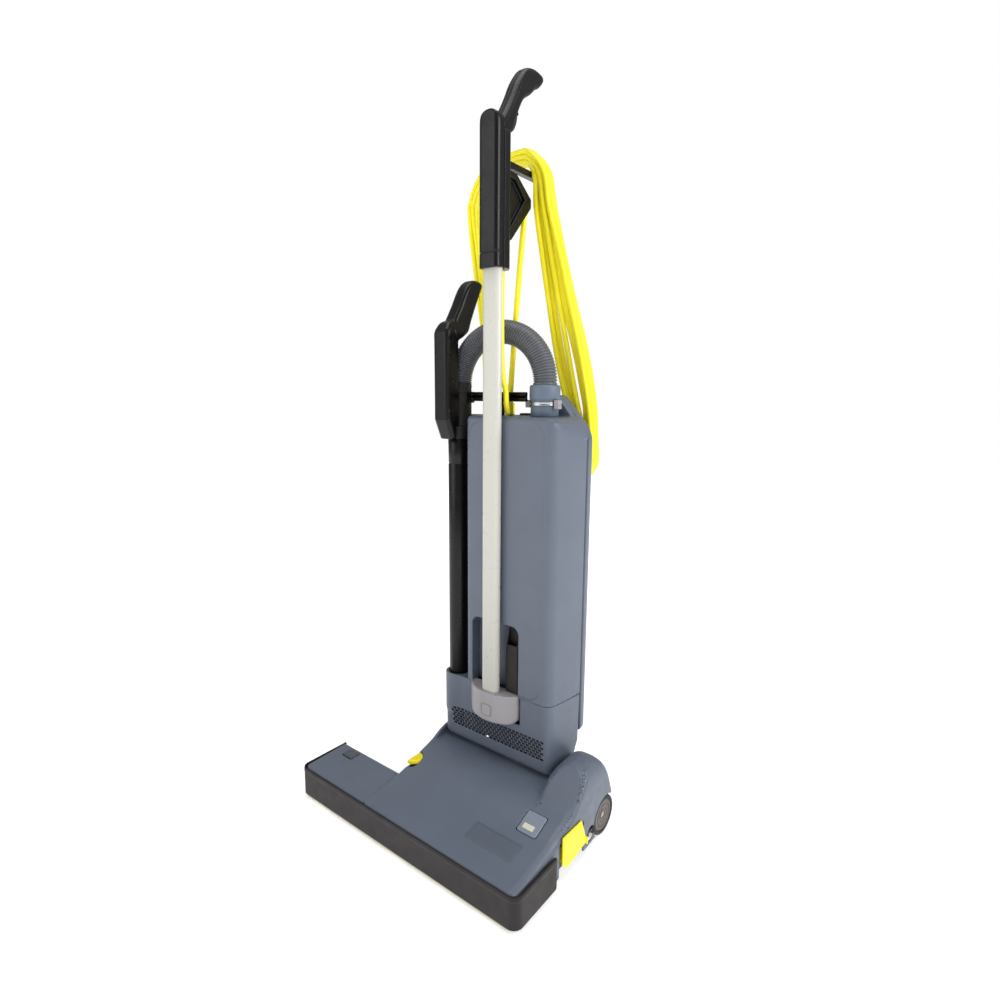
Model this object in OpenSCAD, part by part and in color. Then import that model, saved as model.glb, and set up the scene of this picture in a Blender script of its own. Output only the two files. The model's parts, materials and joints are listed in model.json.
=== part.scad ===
// Commercial upright vacuum cleaner with a wide powered brush head.
// Z up, floor at z = 0, front towards -Y. Sizes are in millimetres. The body stands upright at rest.
// Places are measured from the handle tube's centre plane and from a line 3 mm in front of the
// wheel axle. seat() then moves every node so that the origin is under the middle of the outline.

/* [Floor head] */
// Overall width of the floor head over the bumper
head_w = 480; // [470:2:490]
// Left end of the floor head, measured from the handle's centre plane
head_left = -287; // [-289:1:-283]
// Front face of the bumper
head_front = -250; // [-254:1:-248]
// Rear edge of the brush wing
wing_rear = -151; // [-153:1:-149]
// Height of the top of the bumper
bumper_top = 63; // [61:1:65]
// Thickness of the bumper band
bumper_t = 3; // [2.5:0.5:3.5]
// Wall thickness of the moulded covers
wall = 3; // [2.5:0.5:3.5]
// Height of the saddle under the body
saddle_h = 92; // [90:1:93]

/* [Wheels and recline pivot] */
// Radius of the rear wheels
wheel_r = 33; // [32:0.5:34]
// Width of each rear wheel
wheel_w = 22; // [20:1:23]
// Height of the pivot that the body reclines about
pivot_z = 72; // [70:1:74]
// Distance of that pivot from the frame's zero, front to back
pivot_y = -8; // [-10:1:-6]
// Radius of the pivot pins
pivot_pin_r = 6; // [5:0.5:7]

/* [Brush] */
// Radius over the bristles
brush_r = 27; // [26:0.5:27.5]
// Radius of the brush core
brush_core_r = 17; // [16:0.5:18]
// Number of bristle rows around the core
bristle_rows = 6; // [4:1:8]

/* [Body] */
// Half width of the body at its front face
body_half_w = 112; // [110:1:113]
// Front face of the body
body_front = -56; // [-57:1:-55]
// Joint plane between the body and the bag door
door_y = 25; // [24:0.5:26]
// Rear face of the bag door
door_back = 48; // [47:1:50]
// Underside of the lower casing
casing_z0 = 96; // [96:1:98]
// Seam between the lower casing and the front housing
seam_z = 219; // [218:1:220]
// Top of the body
body_top = 680; // [676:1:684]
// Columns of the exhaust grille
grille_cols = 24; // [20:1:26]
// Rows of the exhaust grille
grille_rows = 6; // [4:1:6]

/* [Handle] */
// Width of the oval handle tube
tube_w = 33; // [32:0.5:34]
// Depth of the oval handle tube
tube_d = 16; // [15:0.5:16.5]
// Height where the black handle stem starts
stem_z0 = 900; // [896:1:904]
// Width of the handle stem
stem_w = 39; // [38:0.5:40]

/* [Wand and hose] */
// Outer radius of the wand tube
wand_r = 17.5; // [17:0.1:17.5]
// Outer radius of the hose
hose_r = 19; // [18:0.5:19.5]
// Radius of the hose's bend
hose_bend = 80; // [78:1:82]
// Radius of the mains cord
cord_r = 4.5; // [4:0.25:5]

/* [Hidden] */
$fn = 48;

head_right = head_left + head_w;
cover_gap = 0.5;
cover_front = head_front + bumper_t + cover_gap;
cover_left = head_left + bumper_t + cover_gap;
side_t = 5;
cover_right = head_right - side_t - cover_gap;
housing_left = -125;
cheek_in = 119;
head_rear = 35;
sole_z = 12;
axle_y = 3;
axle_z = wheel_r;
axle_r = 5;
hub_r = 26;
wheel_out = 184;
wheel_left_out = -149;
brush_y = -200;
brush_z = brush_r + 1;
brush_x0 = -266;
brush_x1 = 150;
pulley_x0 = 160;
pulley_w = 14;
belt_gap = 0.2;
belt_t = 2;
lower_hook_back = 107;
seat_shift = [-(head_left + head_right) / 2, -(head_front + lower_hook_back) / 2, 0];
brush_pulley_r = 13;
motor_pulley_r = 8;
motor_y = -75;
motor_z = 56;
motor_r = 28;
screw_y = -156;
pedal_y = -118;
pedal_z = 70;
dial_y = -44;
dial_z = 30;
motor_x0 = 32;
motor_x1 = 150;
run_gap = 0.05;
ear_x0 = 88;
ear_x1 = 112;
tower_x0 = 68;
tower_x1 = 84;
barrel_r = 22;
barrel_half = 40;
side_flare = 123;
channel_x = -63;
channel_y = -11;
wand_x = -98;
wand_y = -36;
coupling_y = -32;
fan_x = 20;
fan_y = -13.5;
fan_r = 31;
hinge_y = 36;
hinge_z = 141;
door_z0 = 146;
tube_y = -66;
tube_z0 = 182;
tube_z1 = 990;
stem_front_y = -80;
stem_mid_y = -63;
stem_back_y = -46;
stem_z1 = 1090;
stem_arch_z = 1116;
grip_half_w = 13;
hook_z = 1054;
hook_shaft_r = 5;
switch_y = -23.5;
switch_z = 1125;
cuff_x = 62;
cuff_y = -12;
cuff_r = 22.5;
cuff_z0 = body_top + 0.2;
cuff_z1 = 729;
hose_x = (wand_x + cuff_x) / 2;
hose_y0 = -29;
hose_z = 733;
elbow_path = [[-20, pivot_y, pivot_z + 14], [-34, -18, 126], [wand_x, wand_y, 164]];
hose_turn = atan2(cuff_y - hose_y0, cuff_x - wand_x);
lead_x = -1;
lead_y = -17.5;
plug_x = -60;
plug_y = 66.5;
plug_r = 17;
slate = "#69717d";
black = "#211f20";
brown_black = "#3c3735";
yellow = "#f2e81c";
pale = "#bdbdb5";
steel = "#a8abae";

// ---- helpers: outlines and extrusions along each axis ----
function arc(cx, cy, r, a0, a1, n = 6) =
    [for (i = [0:n]) let (a = a0 + (a1 - a0) * i / n) [cx + r * cos(a), cy + r * sin(a)]];
// Rounded rectangle; r lists the radii at (x0,y0), (x1,y0), (x1,y1), (x0,y1).
function rrect(x0, y0, x1, y1, r) = concat(
    arc(x0 + r[0], y0 + r[0], r[0], 180, 270), arc(x1 - r[1], y0 + r[1], r[1], 270, 360),
    arc(x1 - r[2], y1 - r[2], r[2], 0, 90), arc(x0 + r[3], y1 - r[3], r[3], 90, 180));
// Outline given as [x, y], raised along Z.
module slab_z(pts, z0, z1) { translate([0, 0, z0]) linear_extrude(z1 - z0) polygon(pts); }
// Outline given as [x, z], pushed along Y.
module slab_y(pts, y0, y1) { translate([0, y1, 0]) rotate([90, 0, 0]) linear_extrude(y1 - y0) polygon(pts); }
// Outline given as [y, z], pushed along X.
module slab_x(pts, x0, x1) { translate([x0, 0, 0]) rotate([90, 0, 90]) linear_extrude(x1 - x0) polygon(pts); }
module block(lo, hi) { translate(lo) cube([for (i = [0:2]) hi[i] - lo[i]]); }
module cyl_x(y, z, x0, x1, r) { translate([x0, y, z]) rotate([0, 90, 0]) cylinder(h = x1 - x0, r = r); }
module cyl_y(x, z, y0, y1, r) { translate([x, y1, z]) rotate([90, 0, 0]) cylinder(h = y1 - y0, r = r); }
module cyl_z(x, y, z0, z1, r) { translate([x, y, z0]) cylinder(h = z1 - z0, r = r); }
module ring_x(y, z, x0, x1, ro, ri) {
    difference() { cyl_x(y, z, x0, x1, ro); cyl_x(y, z, x0 - 1, x1 + 1, ri); }
}
module ring_z(x, y, z0, z1, ro, ri) {
    difference() { cyl_z(x, y, z0, z1, ro); cyl_z(x, y, z0 - 1, z1 + 1, ri); }
}
// Round bar through a list of points, with a ball at each bend.
module bar(pts, r) {
    for (i = [0:len(pts) - 2]) {
        d = pts[i + 1] - pts[i];
        translate(pts[i]) rotate([0, acos(d[2] / norm(d)), atan2(d[1], d[0])]) cylinder(h = norm(d), r = r);
        if (i > 0) translate(pts[i]) sphere(r = r + 0.1);
    }
}
// Smooth pipe through a list of points.
module pipe(pts, r) {
    for (i = [0:len(pts) - 2]) hull() for (p = [pts[i], pts[i + 1]]) translate(p) sphere(r = r, $fn = 28);
}

// ---- floor head: solid form of the top cover, shrunk by t on every outer side ----
module wing_form(t) {
    slab_x(concat(arc(cover_front + 8, 58 - t, 8 - t, 180, 90), arc(wing_rear - 10, 60 - t, 8 - t, 80, 0),
                  [[wing_rear - 2 - t, sole_z - t], [cover_front + t, sole_z - t]]),
           cover_left + t, housing_left + 20);
}
// Main housing: a long rising top that dips into a saddle in front of the body.
module rise_form(t) {
    slab_x(concat(arc(cover_front + 8, 58 - t, 8 - t, 180, 90),
                  [[-150, 72 - t], [-120, 84 - t], [-98, saddle_h - 2 - t], [-70, saddle_h - t],
                   [-36, saddle_h - t], [-36, sole_z - t], [cover_front + t, sole_z - t]]),
           housing_left + t, cover_right - t);
}
// Cheek beside the body neck, on either side.
module cheek_form(t, x0, x1) {
    slab_x([[-136, 66], [-112, 82 - t], [-88, 92 - t], [-66, 104 - t], [-41, 112 - t], [-25, 104 - t],
            [-8, 88 - t], [8, 66 - t], [head_rear - 8 - t, 50 - t], [head_rear - t, 40],
            [head_rear - t, sole_z - t], [-136, sole_z - t]], x0, x1);
}
// Rounded hump on the right that covers the brush drive.
module hump_form(t) {
    intersection() {
        slab_x(concat([[-150, 60], [-124, 76 - t], [-104 + t / 2, 86 - t], [-82 + t / 2, 104 - t],
                       [-62 + t / 2, 123 - t]], arc(-26, 108 - t, 36, 125, 40),
                      [[10, 112 - t], [24 - t, 84], [head_rear - t, 50], [head_rear - t, sole_z - t],
                       [-150, sole_z - t]]), cheek_in, cover_right - t);
        slab_y(concat([[cheek_in, sole_z - t], [cover_right - t, sole_z - t], [cover_right - t, 84]],
                      arc(152, 114, 34 - t, 10, 90), [[138, 142 - t], [126, 124 - t], [cheek_in, 116 - t]]),
               -150, head_rear);
    }
}
module cover_form(t) {
    intersection() {
        union() {
            wing_form(t);
            rise_form(t);
            cheek_form(t, housing_left + t, -cheek_in);
            hump_form(t);
        }
        slab_z(rrect(cover_left + t, cover_front + t, cover_right - t, head_rear - t, [14, 14, 10, 10]),
               0, 200);
    }
}
module foot_cover() {
    color(slate) difference() {
        cover_form(0);
        difference() {
            translate([0, 0, -wall]) cover_form(wall);
            for (x = [-110, 100]) cyl_z(x, screw_y, sole_z + wall, 90, 5);
        }
        // wheel wells, latch opening, dial opening
        cyl_x(axle_y, axle_z, wheel_out - wheel_w - 3, 200, wheel_r + 3);
        block([cover_right - wall - 2, -136, 10], [200, -68, 66]);
        cyl_x(dial_y, dial_z, 170, 200, 12);
        // pedal, lens and window openings
        slab_z(concat(arc(-123, -131, 17, -80, 80, 10), [[-130, -114.3], [-130, -147.7]]), 70, 90);
        block([119, -154, 60], [155, -118, 100]);
        block([-257, -182, 60], [-231, -162, 80]);
        for (x = [-110, 100]) cyl_z(x, screw_y, -1, 60, 2.1);
        cyl_x(axle_y, axle_z, -130, 160, axle_r);
        // room for the body's side beside the hump
        block([118, -12, 60], [124.5, 40, 160]);
    }
}
module foot_base() {
    color(black) difference() {
        union() {
            // sole plate with a brush tunnel wall
            slab_z(rrect(cover_left + 4, cover_front + 4, cover_right - 5, wing_rear - 6, [12, 12, 1, 1]),
                   sole_z, sole_z + wall);
            block([housing_left + 4, wing_rear - 6, sole_z], [156, -40, sole_z + wall]);
            block([-112, -40, sole_z], [112, 26, sole_z + wall]);
            block([-118, -166, sole_z], [150, -163, 58]);
            // end plates that hold the brush bearings
            block([brush_x0 - 10, -226, sole_z], [brush_x0 - 6, -174, 50]);
            block([brush_x1 + 2, -226, sole_z], [brush_x1 + 6, -174, 50]);
            // towers for the body pivot
            for (s = [0, 1]) mirror([s, 0, 0]) {
                slab_x(concat([[pivot_y - 22, sole_z]], arc(pivot_y, pivot_z, 15, 170, 10),
                              [[pivot_y + 22, sole_z]]), tower_x0, tower_x1);
            }
            // bosses for the wheel axles
            cyl_x(axle_y, axle_z, -121.8, -100, 10);
            cyl_x(axle_y, axle_z, 114, 156, 10);
            block([-118, axle_y - 8, sole_z], [-100, axle_y + 8, axle_z]);
            block([114, axle_y - 8, sole_z], [152, axle_y + 8, axle_z]);
            block([112, -46, sole_z], [156, 22, sole_z + wall]);
        }
        // brush opening in the sole
        block([brush_x0 - 2, brush_y - 30, 0], [brush_x1 + 1, brush_y + 30, sole_z + wall + 1]);
        block([brush_x1 + 7, brush_y - 24, 0], [180, brush_y + 24, sole_z + wall + 1]);
        block([pulley_x0 - 4, -190, 0], [180, -60, sole_z + wall + 1]);
        block([159, -60, 0], [200, -40, 30]);
        for (x = [brush_x0 - 11, brush_x1 + 1]) cyl_x(brush_y, brush_z, x, x + 6, 9);
        cyl_x(pivot_y, pivot_z, -100, 100, pivot_pin_r);
        cyl_x(axle_y, axle_z, -130, 160, axle_r);
        // duct port through the tunnel wall
        cyl_y(0, 34, -170, -160, 16);
        for (x = [-110, 100]) cyl_z(x, screw_y, 0, 30, 2.1);
    }
}
module bumper() {
    color(brown_black) difference() {
        slab_z(rrect(head_left, head_front, head_right, wing_rear, [16, 16, 3, 3]), 8, bumper_top);
        slab_z(rrect(head_left + bumper_t, head_front + bumper_t, head_right - side_t, 0, [13, 13, 1, 1]),
               7, bumper_top + 1);
    }
}
module skirt_strip() {
    color("#cfc9a6") block([head_left + 18, head_front + 0.5, 4.5], [head_right - 18, head_front + 4, 7.8]);
}
module sole_runners() {
    color(pale) for (x = [-262, -70, 120]) block([x, -242, 0], [x + 46, -231.5, sole_z]);
}
module brush_motor() {
    color(steel) difference() {
        union() {
            cyl_x(motor_y, motor_z, motor_x0, motor_x1, motor_r);
            cyl_x(motor_y, motor_z, motor_x1, motor_x1 + 4, 10);
        }
        cyl_x(motor_y, motor_z, motor_x1 - 30, motor_x1 + 6, 3 + run_gap);
    }
}
module motor_cradle() {
    color(black) difference() {
        block([motor_x0 + 12, motor_y - 30, sole_z + wall], [motor_x1 - 12, motor_y + 30, motor_z]);
        cyl_x(motor_y, motor_z, motor_x0, motor_x1, motor_r);
    }
}
module motor_pulley() {
    color(steel) {
        cyl_x(motor_y, motor_z, motor_x1 - 28, pulley_x0 + pulley_w, 3);
        cyl_x(motor_y, motor_z, pulley_x0, pulley_x0 + pulley_w, motor_pulley_r);
    }
}
// Belt loop around two circles; t is how far it stands off the pulley faces.
module belt_loop(off, x0, x1) {
    dy = brush_y - motor_y;
    dz = brush_z - motor_z;
    ra = motor_pulley_r + off;
    rb = brush_pulley_r + off;
    lean = atan2(dz, dy);
    bend = asin((rb - ra) / norm([dy, dz]));
    slab_x(concat(arc(motor_y, motor_z, ra, lean + 90 + bend, lean + 270 - bend, 16),
                  arc(brush_y, brush_z, rb, lean + 270 - bend, lean + 450 + bend, 20)), x0, x1);
}
module drive_belt() {
    color(black) difference() {
        belt_loop(belt_gap + belt_t, pulley_x0 + 1, pulley_x0 + pulley_w - 1);
        belt_loop(belt_gap, pulley_x0, pulley_x0 + pulley_w);
    }
}
module brush_core() {
    color("#8d9094") {
        cyl_x(brush_y, brush_z, brush_x0, brush_x1, brush_core_r);
        cyl_x(brush_y, brush_z, brush_x0 - 9, pulley_x0 + pulley_w, 4);
        cyl_x(brush_y, brush_z, pulley_x0, pulley_x0 + pulley_w, brush_pulley_r);
    }
}
module brush_bristles() {
    color(brown_black) for (i = [0:bristle_rows - 1]) rotate_about_brush(360 * i / bristle_rows)
        block([brush_x0 + 6, -2, brush_core_r], [brush_x1 - 6, 2, brush_r]);
}
module rotate_about_brush(a) { translate([0, brush_y, brush_z]) rotate([a, 0, 0]) children(); }
module brush_bearings() {
    color(steel) for (x = [brush_x0 - 10, brush_x1 + 2]) ring_x(brush_y, brush_z, x, x + 4, 9, 4 + run_gap);
}
module wheel_axles() {
    color(steel) {
        cyl_x(axle_y, axle_z, wheel_left_out + 2, -102, axle_r);
        cyl_x(axle_y, axle_z, 118, wheel_out - 2, axle_r);
    }
}
module tyre(x0) { color(black) ring_x(axle_y, axle_z, x0, x0 + wheel_w, wheel_r, hub_r); }
module hub(x0) {
    color("#5e5a58") difference() {
        cyl_x(axle_y, axle_z, x0 + 1, x0 + wheel_w - 1, hub_r);
        cyl_x(axle_y, axle_z, x0, x0 + wheel_w, axle_r + run_gap);
    }
}
module tyre_left() { tyre(wheel_left_out); }
module hub_left() { hub(wheel_left_out); }
module tyre_right() { tyre(wheel_out - wheel_w); }
module hub_right() { hub(wheel_out - wheel_w); }
module pivot_pins() {
    color(steel) {
        for (s = [0, 1]) mirror([s, 0, 0]) cyl_x(pivot_y, pivot_z, tower_x0, ear_x1 + 3, pivot_pin_r);
        // pin of the release pedal and shaft of the height dial
        cyl_x(pedal_y, pedal_z, housing_left + wall, -103, 2);
        cyl_x(dial_y, dial_z, 156, 175, 4);
    }
}
// Duct from the brush tunnel to a hollow barrel on the pivot line, open towards the body.
module floor_duct() {
    color(black) difference() {
        union() {
            cyl_x(pivot_y, pivot_z, -barrel_half, barrel_half, barrel_r);
            bar([[0, -162.8, 34], [0, -112, 38], [0, -60, 56], [0, pivot_y, pivot_z]], 16);
        }
        cyl_x(pivot_y, pivot_z, -barrel_half + wall, barrel_half - wall, barrel_r - wall);
        bar([[0, -170, 33.4], [0, -112, 38], [0, -60, 56], [0, pivot_y, pivot_z]], 13);
        // opening that faces the elbow at every lean of the body
        intersection() {
            block([-24, pivot_y - 10, pivot_z], [24, pivot_y + 40, pivot_z + 30]);
            cyl_x(pivot_y, pivot_z, -24, 24, 30);
        }
        block([-60, -170, 0], [60, -162.8, 70]);
    }
}
module indicator_board() { color("#2f6b45") block([112, -158, 58], [160, -114, 60]); }
module indicator_lens() {
    color("#e9eef0") slab_x([[-153, 60.5], [-119, 60.5], [-119, 84.9], [-153, 71.4]], 120, 154);
}
module inspection_window() { color("#9aa3ad") block([-256.5, -181.5, 61], [-231.5, -162.5, 67.2]); }
module name_plate() { color("#3a4048") slab_x([[-206, 68.3], [-172, 70.7], [-172, 71.6], [-206, 69.2]], 60, 148); }
module foot_screws() {
    color(steel) for (x = [-110, 100]) {
        cyl_z(x, screw_y, 12, 40, 2);
        cyl_z(x, screw_y, 9, 12, 4);
    }
}
// Half-round pedal that frees the upright lock.
module release_pedal() {
    color(yellow) difference() {
        union() {
            slab_z(concat(arc(-123, -130, 15.5, -80, 80, 12), [[-123, -114.6], [-123, -145.4]]), 76, 84);
            cyl_x(pedal_y, pedal_z, -121, -106, 4);
            block([-121, -121, 70], [-106, -115.5, 77]);
        }
        cyl_x(pedal_y, pedal_z, -130, -100, 2 + run_gap);
    }
}
// Side latch plate that frees the brush.
module brush_latch() {
    color(yellow) difference() {
        union() {
            slab_x([[-133, 77], [-79, 75], [-71, 55], [-62, 29], [-120, 20], [-134, 33]],
                   cover_right + 0.3, cover_right + 3);
            block([cover_right - 6, -128, 30], [cover_right + 0.5, -84, 60]);
            // hinge barrel
            cyl_z(cover_right + 2.5, -63, 26, 37, 2.3);
        }
        block([cover_right - 7, -120, 34], [cover_right + 0.3, -92, 56]);
    }
}
module height_dial() {
    color(black) difference() {
        union() {
            cyl_x(dial_y, dial_z, 172, 178, 11.5);
            block([178, dial_y - 11, dial_z - 3], [184, dial_y + 11, dial_z + 3]);
        }
        cyl_x(dial_y, dial_z, 160, 176, 4 + run_gap);
    }
}

// ---- body: plan outline of the main shells, shrunk by t ----
function body_plan(t) = concat(
    arc(-body_half_w + 8, body_front + 8, 8 - t, 185, 270), arc(body_half_w - 8, body_front + 8, 8 - t, 270, 355),
    [[side_flare - t, door_y - 0.2], [-side_flare + t, door_y - 0.2]]);
module casing_form(t) {
    intersection() {
        slab_z(body_plan(t), casing_z0 - 60, seam_z);
        slab_x(concat(arc(body_front + 14, casing_z0 + 14, 14 - t, 180, 270), [[4 - t / 2, casing_z0 + t],
                      [door_y - 3 - t, 136 + t], [door_y - t, seam_z + 1], [body_front + t, seam_z + 1]]),
               -130, 130);
        slab_y(rrect(-side_flare, casing_z0 + t, side_flare, seam_z + 60, [20 - t, 20 - t, 1, 1]), -100, 100);
    }
}
module grille_cut() {
    pitch = 196 / grille_cols;
    for (c = [0:grille_cols - 1]) for (r = [0:grille_rows - 1])
        translate([-99 + pitch * (c + 0.5 + 0.5 * (r % 2)), body_front + 5, 135 + 4.4 * r])
            rotate([90, 45, 0]) cylinder(h = 10, r = 2.4, $fn = 4);
}
module lower_casing() {
    color(slate) difference() {
        union() {
            difference() {
                casing_form(0);
                difference() {
                    translate([0, 0, 0.01]) casing_form(wall);
                    // deck around the wand dock
                    block([-130, -100, seam_z - wall], [channel_x, channel_y, seam_z + 1]);
                    cyl_z(wand_x + 1, wand_y, 185, seam_z, 24);
                }
            }
            // ears that hang on the pivot pins
            for (s = [0, 1]) mirror([s, 0, 0]) {
                slab_x(concat([[pivot_y - 17, casing_z0 + 6]], arc(pivot_y, pivot_z, 13, 190, 350, 12),
                              [[pivot_y + 15, casing_z0 + 16]]), ear_x0, ear_x1);
                // arms of the bag door's hinge
                slab_x(concat([[18, 126], [18, 134]], arc(hinge_y, hinge_z, 4.5, 160, -70, 8)), 82, 96);
            }
        }
        for (s = [0, 1]) mirror([s, 0, 0]) {
            cyl_x(pivot_y, pivot_z, ear_x0 - 1, ear_x1 + 1, pivot_pin_r + run_gap);
            cyl_x(hinge_y, hinge_z, 80, 98, 2.5);
        }
        // pocket of the handle socket, dock bore and elbow port
        block([-52, body_front - 1, 170.5], [52, -44, seam_z + 1]);
        cyl_z(wand_x, wand_y, 150, seam_z + 1, 22.2);
        slab_y(rrect(-barrel_half - 8, 80, barrel_half + 8, 118, [2, 2, 2, 2]), pivot_y - 36, pivot_y + 40);
        grille_cut();
    }
}
// Elbow that turns on the floor duct's barrel and leads up to the wand dock.
module suction_elbow() {
    color(black) difference() {
        union() {
            cyl_x(pivot_y, pivot_z, -barrel_half, barrel_half, barrel_r + 3.1);
            pipe(elbow_path, 15);
            cyl_z(wand_x, wand_y, 160, 187.8, 15.6);
        }
        cyl_x(pivot_y, pivot_z, -barrel_half - 1, barrel_half + 1, barrel_r + 0.1);
        pipe(elbow_path, 12);
        cyl_z(wand_x, wand_y, 162, 192, 12.5);
        // lower half and the front notch stay open for the duct and the lean of the body
        block([-60, pivot_y - 60, pivot_z - 60], [60, pivot_y + 60, pivot_z + 2]);
        block([-18, pivot_y - 60, pivot_z], [18, pivot_y - 16, pivot_z + 16]);
    }
}
module wand_dock() {
    color(black) difference() {
        cyl_z(wand_x, wand_y, 188, seam_z + 3, 22);
        cyl_z(wand_x, wand_y, 191, seam_z + 4, wand_r + 0.1);
        cyl_z(wand_x, wand_y, 187, seam_z, 12.5);
    }
}
module exhaust_filter() { color("#dfe3e0") block([-72, body_front + wall + 0.2, 126], [98, body_front + 10, 168]); }
module suction_motor() {
    color(steel) difference() {
        cyl_z(fan_x, fan_y, 140, 208, fan_r);
        cyl_z(fan_x, fan_y, 186, 205, fan_r - 3);
        cyl_z(fan_x, fan_y, 200, 209, 12);
        cyl_z(fan_x, fan_y, 144, 190, 3 + run_gap);
    }
}
module impeller() {
    color("#c9ccd0") {
        cyl_z(fan_x, fan_y, 146, 200, 3);
        cyl_z(fan_x, fan_y, 188, 190, 26);
        translate([fan_x, fan_y, 190]) for (i = [0:6]) rotate([0, 0, 360 * i / 7])
            translate([7, -0.8, 0]) cube([19, 1.6, 10]);
    }
}
module motor_gasket() { color(black) ring_z(fan_x, fan_y, 208, seam_z, fan_r, 20); }
module motor_filter() { color("#dfe3e0") block([fan_x - 38, -28, seam_z + 6], [fan_x + 38, 20, seam_z + 16]); }

// ---- upper body ----
function housing_plan(t) = concat(
    [[-side_flare + t, door_y - 0.2], [-side_flare + t, channel_y + t], [channel_x + t, channel_y + t]],
    arc(channel_x + 6, body_front + 6, 6 - t, 180, 270),
    arc(body_half_w - 8, body_front + 8, 8 - t, 270, 355), [[side_flare - t, door_y - 0.2]]);
module front_housing() {
    color(slate) difference() {
        union() {
            difference() {
                housing_form(0, seam_z + 0.2);
                difference() {
                    housing_form(wall, seam_z + 0.2 + wall);
                    block([-51 - wall, body_front, seam_z], [51 + wall, -33, 344]);
                }
            }
            // raised port behind the hose cuff
            slab_y([[45, body_top - 4], [58, 717], [105, 671], [120, 648], [100, 640]], 12, door_y - 0.2);
        }
        // recess around the foot of the handle tube
        slab_y(rrect(-49, seam_z - 60, 49, 340, [1, 1, 14, 14]), body_front - 1, -36);
        block([-52, body_front - 1, 200], [52, -36, 222.8]);
        // air passage, hose port and cord entry
        cyl_z(fan_x, fan_y, seam_z - 1, seam_z + 5, 18);
        cyl_z(cuff_x, cuff_y, body_top - 10, body_top + 50, 18);
        cyl_z(cuff_x, cuff_y, body_top, body_top + 60, cuff_r + 0.3);
        cyl_z(lead_x, lead_y, body_top - 10, body_top + 5, 7);
    }
}
module housing_form(t, z0) {
    intersection() {
        slab_z(housing_plan(t), z0, body_top + 60);
        slab_y(rrect(-side_flare + t, seam_z - 40, side_flare - t, body_top - t, [1, 1, 24, 12]), -100, 100);
    }
}
// Grey socket that holds the foot of the handle tube; its front swells gently.
module handle_socket() {
    color("#96928f") difference() {
        intersection() {
            slab_z(concat(arc(0, -11.5, 68.5, -137, -43, 12), [[51.5, -45], [-51.5, -45]]), 171, 222);
            slab_y(rrect(-51.5, 171, 51.5, 222, [20, 20, 1, 1]), -100, 0);
        }
        slab_z(stadium(0, tube_y, tube_w, tube_d), tube_z0, 240);
        slab_y(rrect(-11, 178, 11, 208, [3, 3, 3, 3]), -90, stem_front_y + 1);
    }
}
// Outline with round ends, used for the oval tube.
function stadium(cx, cy, w, d) = concat(
    arc(cx + (w - d) / 2, cy, d / 2, -90, 90, 10), arc(cx - (w - d) / 2, cy, d / 2, 90, 270, 10));
module handle_tube() {
    color(pale) difference() {
        slab_z(stadium(0, tube_y, tube_w, tube_d), tube_z0, tube_z1);
        slab_z(stadium(0, tube_y, tube_w - 3, tube_d - 3), tube_z0 - 1, tube_z1 + 1);
    }
}
module stem_half(y0, y1, z1, ry0, ry1) {
    difference() {
        slab_z(rrect(-stem_w / 2, y0, stem_w / 2, y1, [ry0, ry0, ry1, ry1]), stem_z0, z1);
        slab_z(stadium(0, tube_y, tube_w, tube_d), stem_z0 - 1, tube_z1);
        slab_z(rrect(-tube_w / 2, stem_front_y + 4, tube_w / 2, stem_back_y - 4, [3, 3, 3, 3]),
               tube_z1 - 0.1, stem_z1 - 6);
    }
}
// The front half ends in an arch that stands in front of the grip's root.
module stem_front() {
    color(black) intersection() {
        stem_half(stem_front_y, stem_mid_y, stem_arch_z, 7, 0.5);
        slab_y(rrect(-stem_w / 2, stem_z0, stem_w / 2, stem_arch_z, [0.5, 0.5, 18.5, 18.5]), -100, 0);
    }
}
module stem_rear() {
    color(black) difference() {
        stem_half(stem_mid_y, stem_back_y, stem_z1, 0.5, 6);
        cyl_y(0, hook_z, stem_back_y - 5, stem_back_y + 1, hook_shaft_r + run_gap);
    }
}
// Side outline of the hand grip, rising behind the stem's arch and leaning back.
grip_side = [[-62.8, 1090.1], [-62.8, 1104], [-47, 1125], [-33, 1148], [-22, 1169], [-10, 1186], [1, 1197],
             [17, 1202.5], [30, 1203], [43, 1200], [46, 1192], [36, 1181], [27, 1176], [15, 1165], [-3, 1152],
             [-14, 1136], [-25, 1113], [-31, 1098], [-42, 1091]];
// The same outline 4 mm further in.
grip_room = [[-58.8, 1094.1], [-58.8, 1103], [-43.5, 1123], [-29.5, 1146], [-18.5, 1167], [-7, 1183], [3, 1193],
             [18, 1198.4], [30, 1199], [40, 1196.5], [41.5, 1192.5], [34, 1184.5], [25, 1179.8], [12, 1168.5],
             [-6, 1155], [-18, 1138], [-29, 1114.5], [-34.5, 1100], [-44, 1094.8]];
module grip_shells() {
    color(black) for (s = [0, 1]) mirror([s, 0, 0]) difference() {
        slab_x(grip_side, 0.1, grip_half_w);
        difference() {
            slab_x(grip_room, 0, grip_half_w - 3.5);
            cyl_x(switch_y, switch_z, 7.2, grip_half_w, 3);
        }
        slab_x([[-38, 1100], [-26, 1096], [-14, 1131], [-30, 1137]], 0, 7.4);
    }
    color(steel) cyl_x(switch_y, switch_z, -7.4, 7.1, 1.45);
}
module power_switch() {
    color(brown_black) difference() {
        slab_x([[-33, 1104], [-27, 1101], [-17, 1125], [-21, 1131], [-28, 1128]], -7, 7);
        cyl_x(switch_y, switch_z, -8, 8, 1.45 + run_gap);
    }
}
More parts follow.
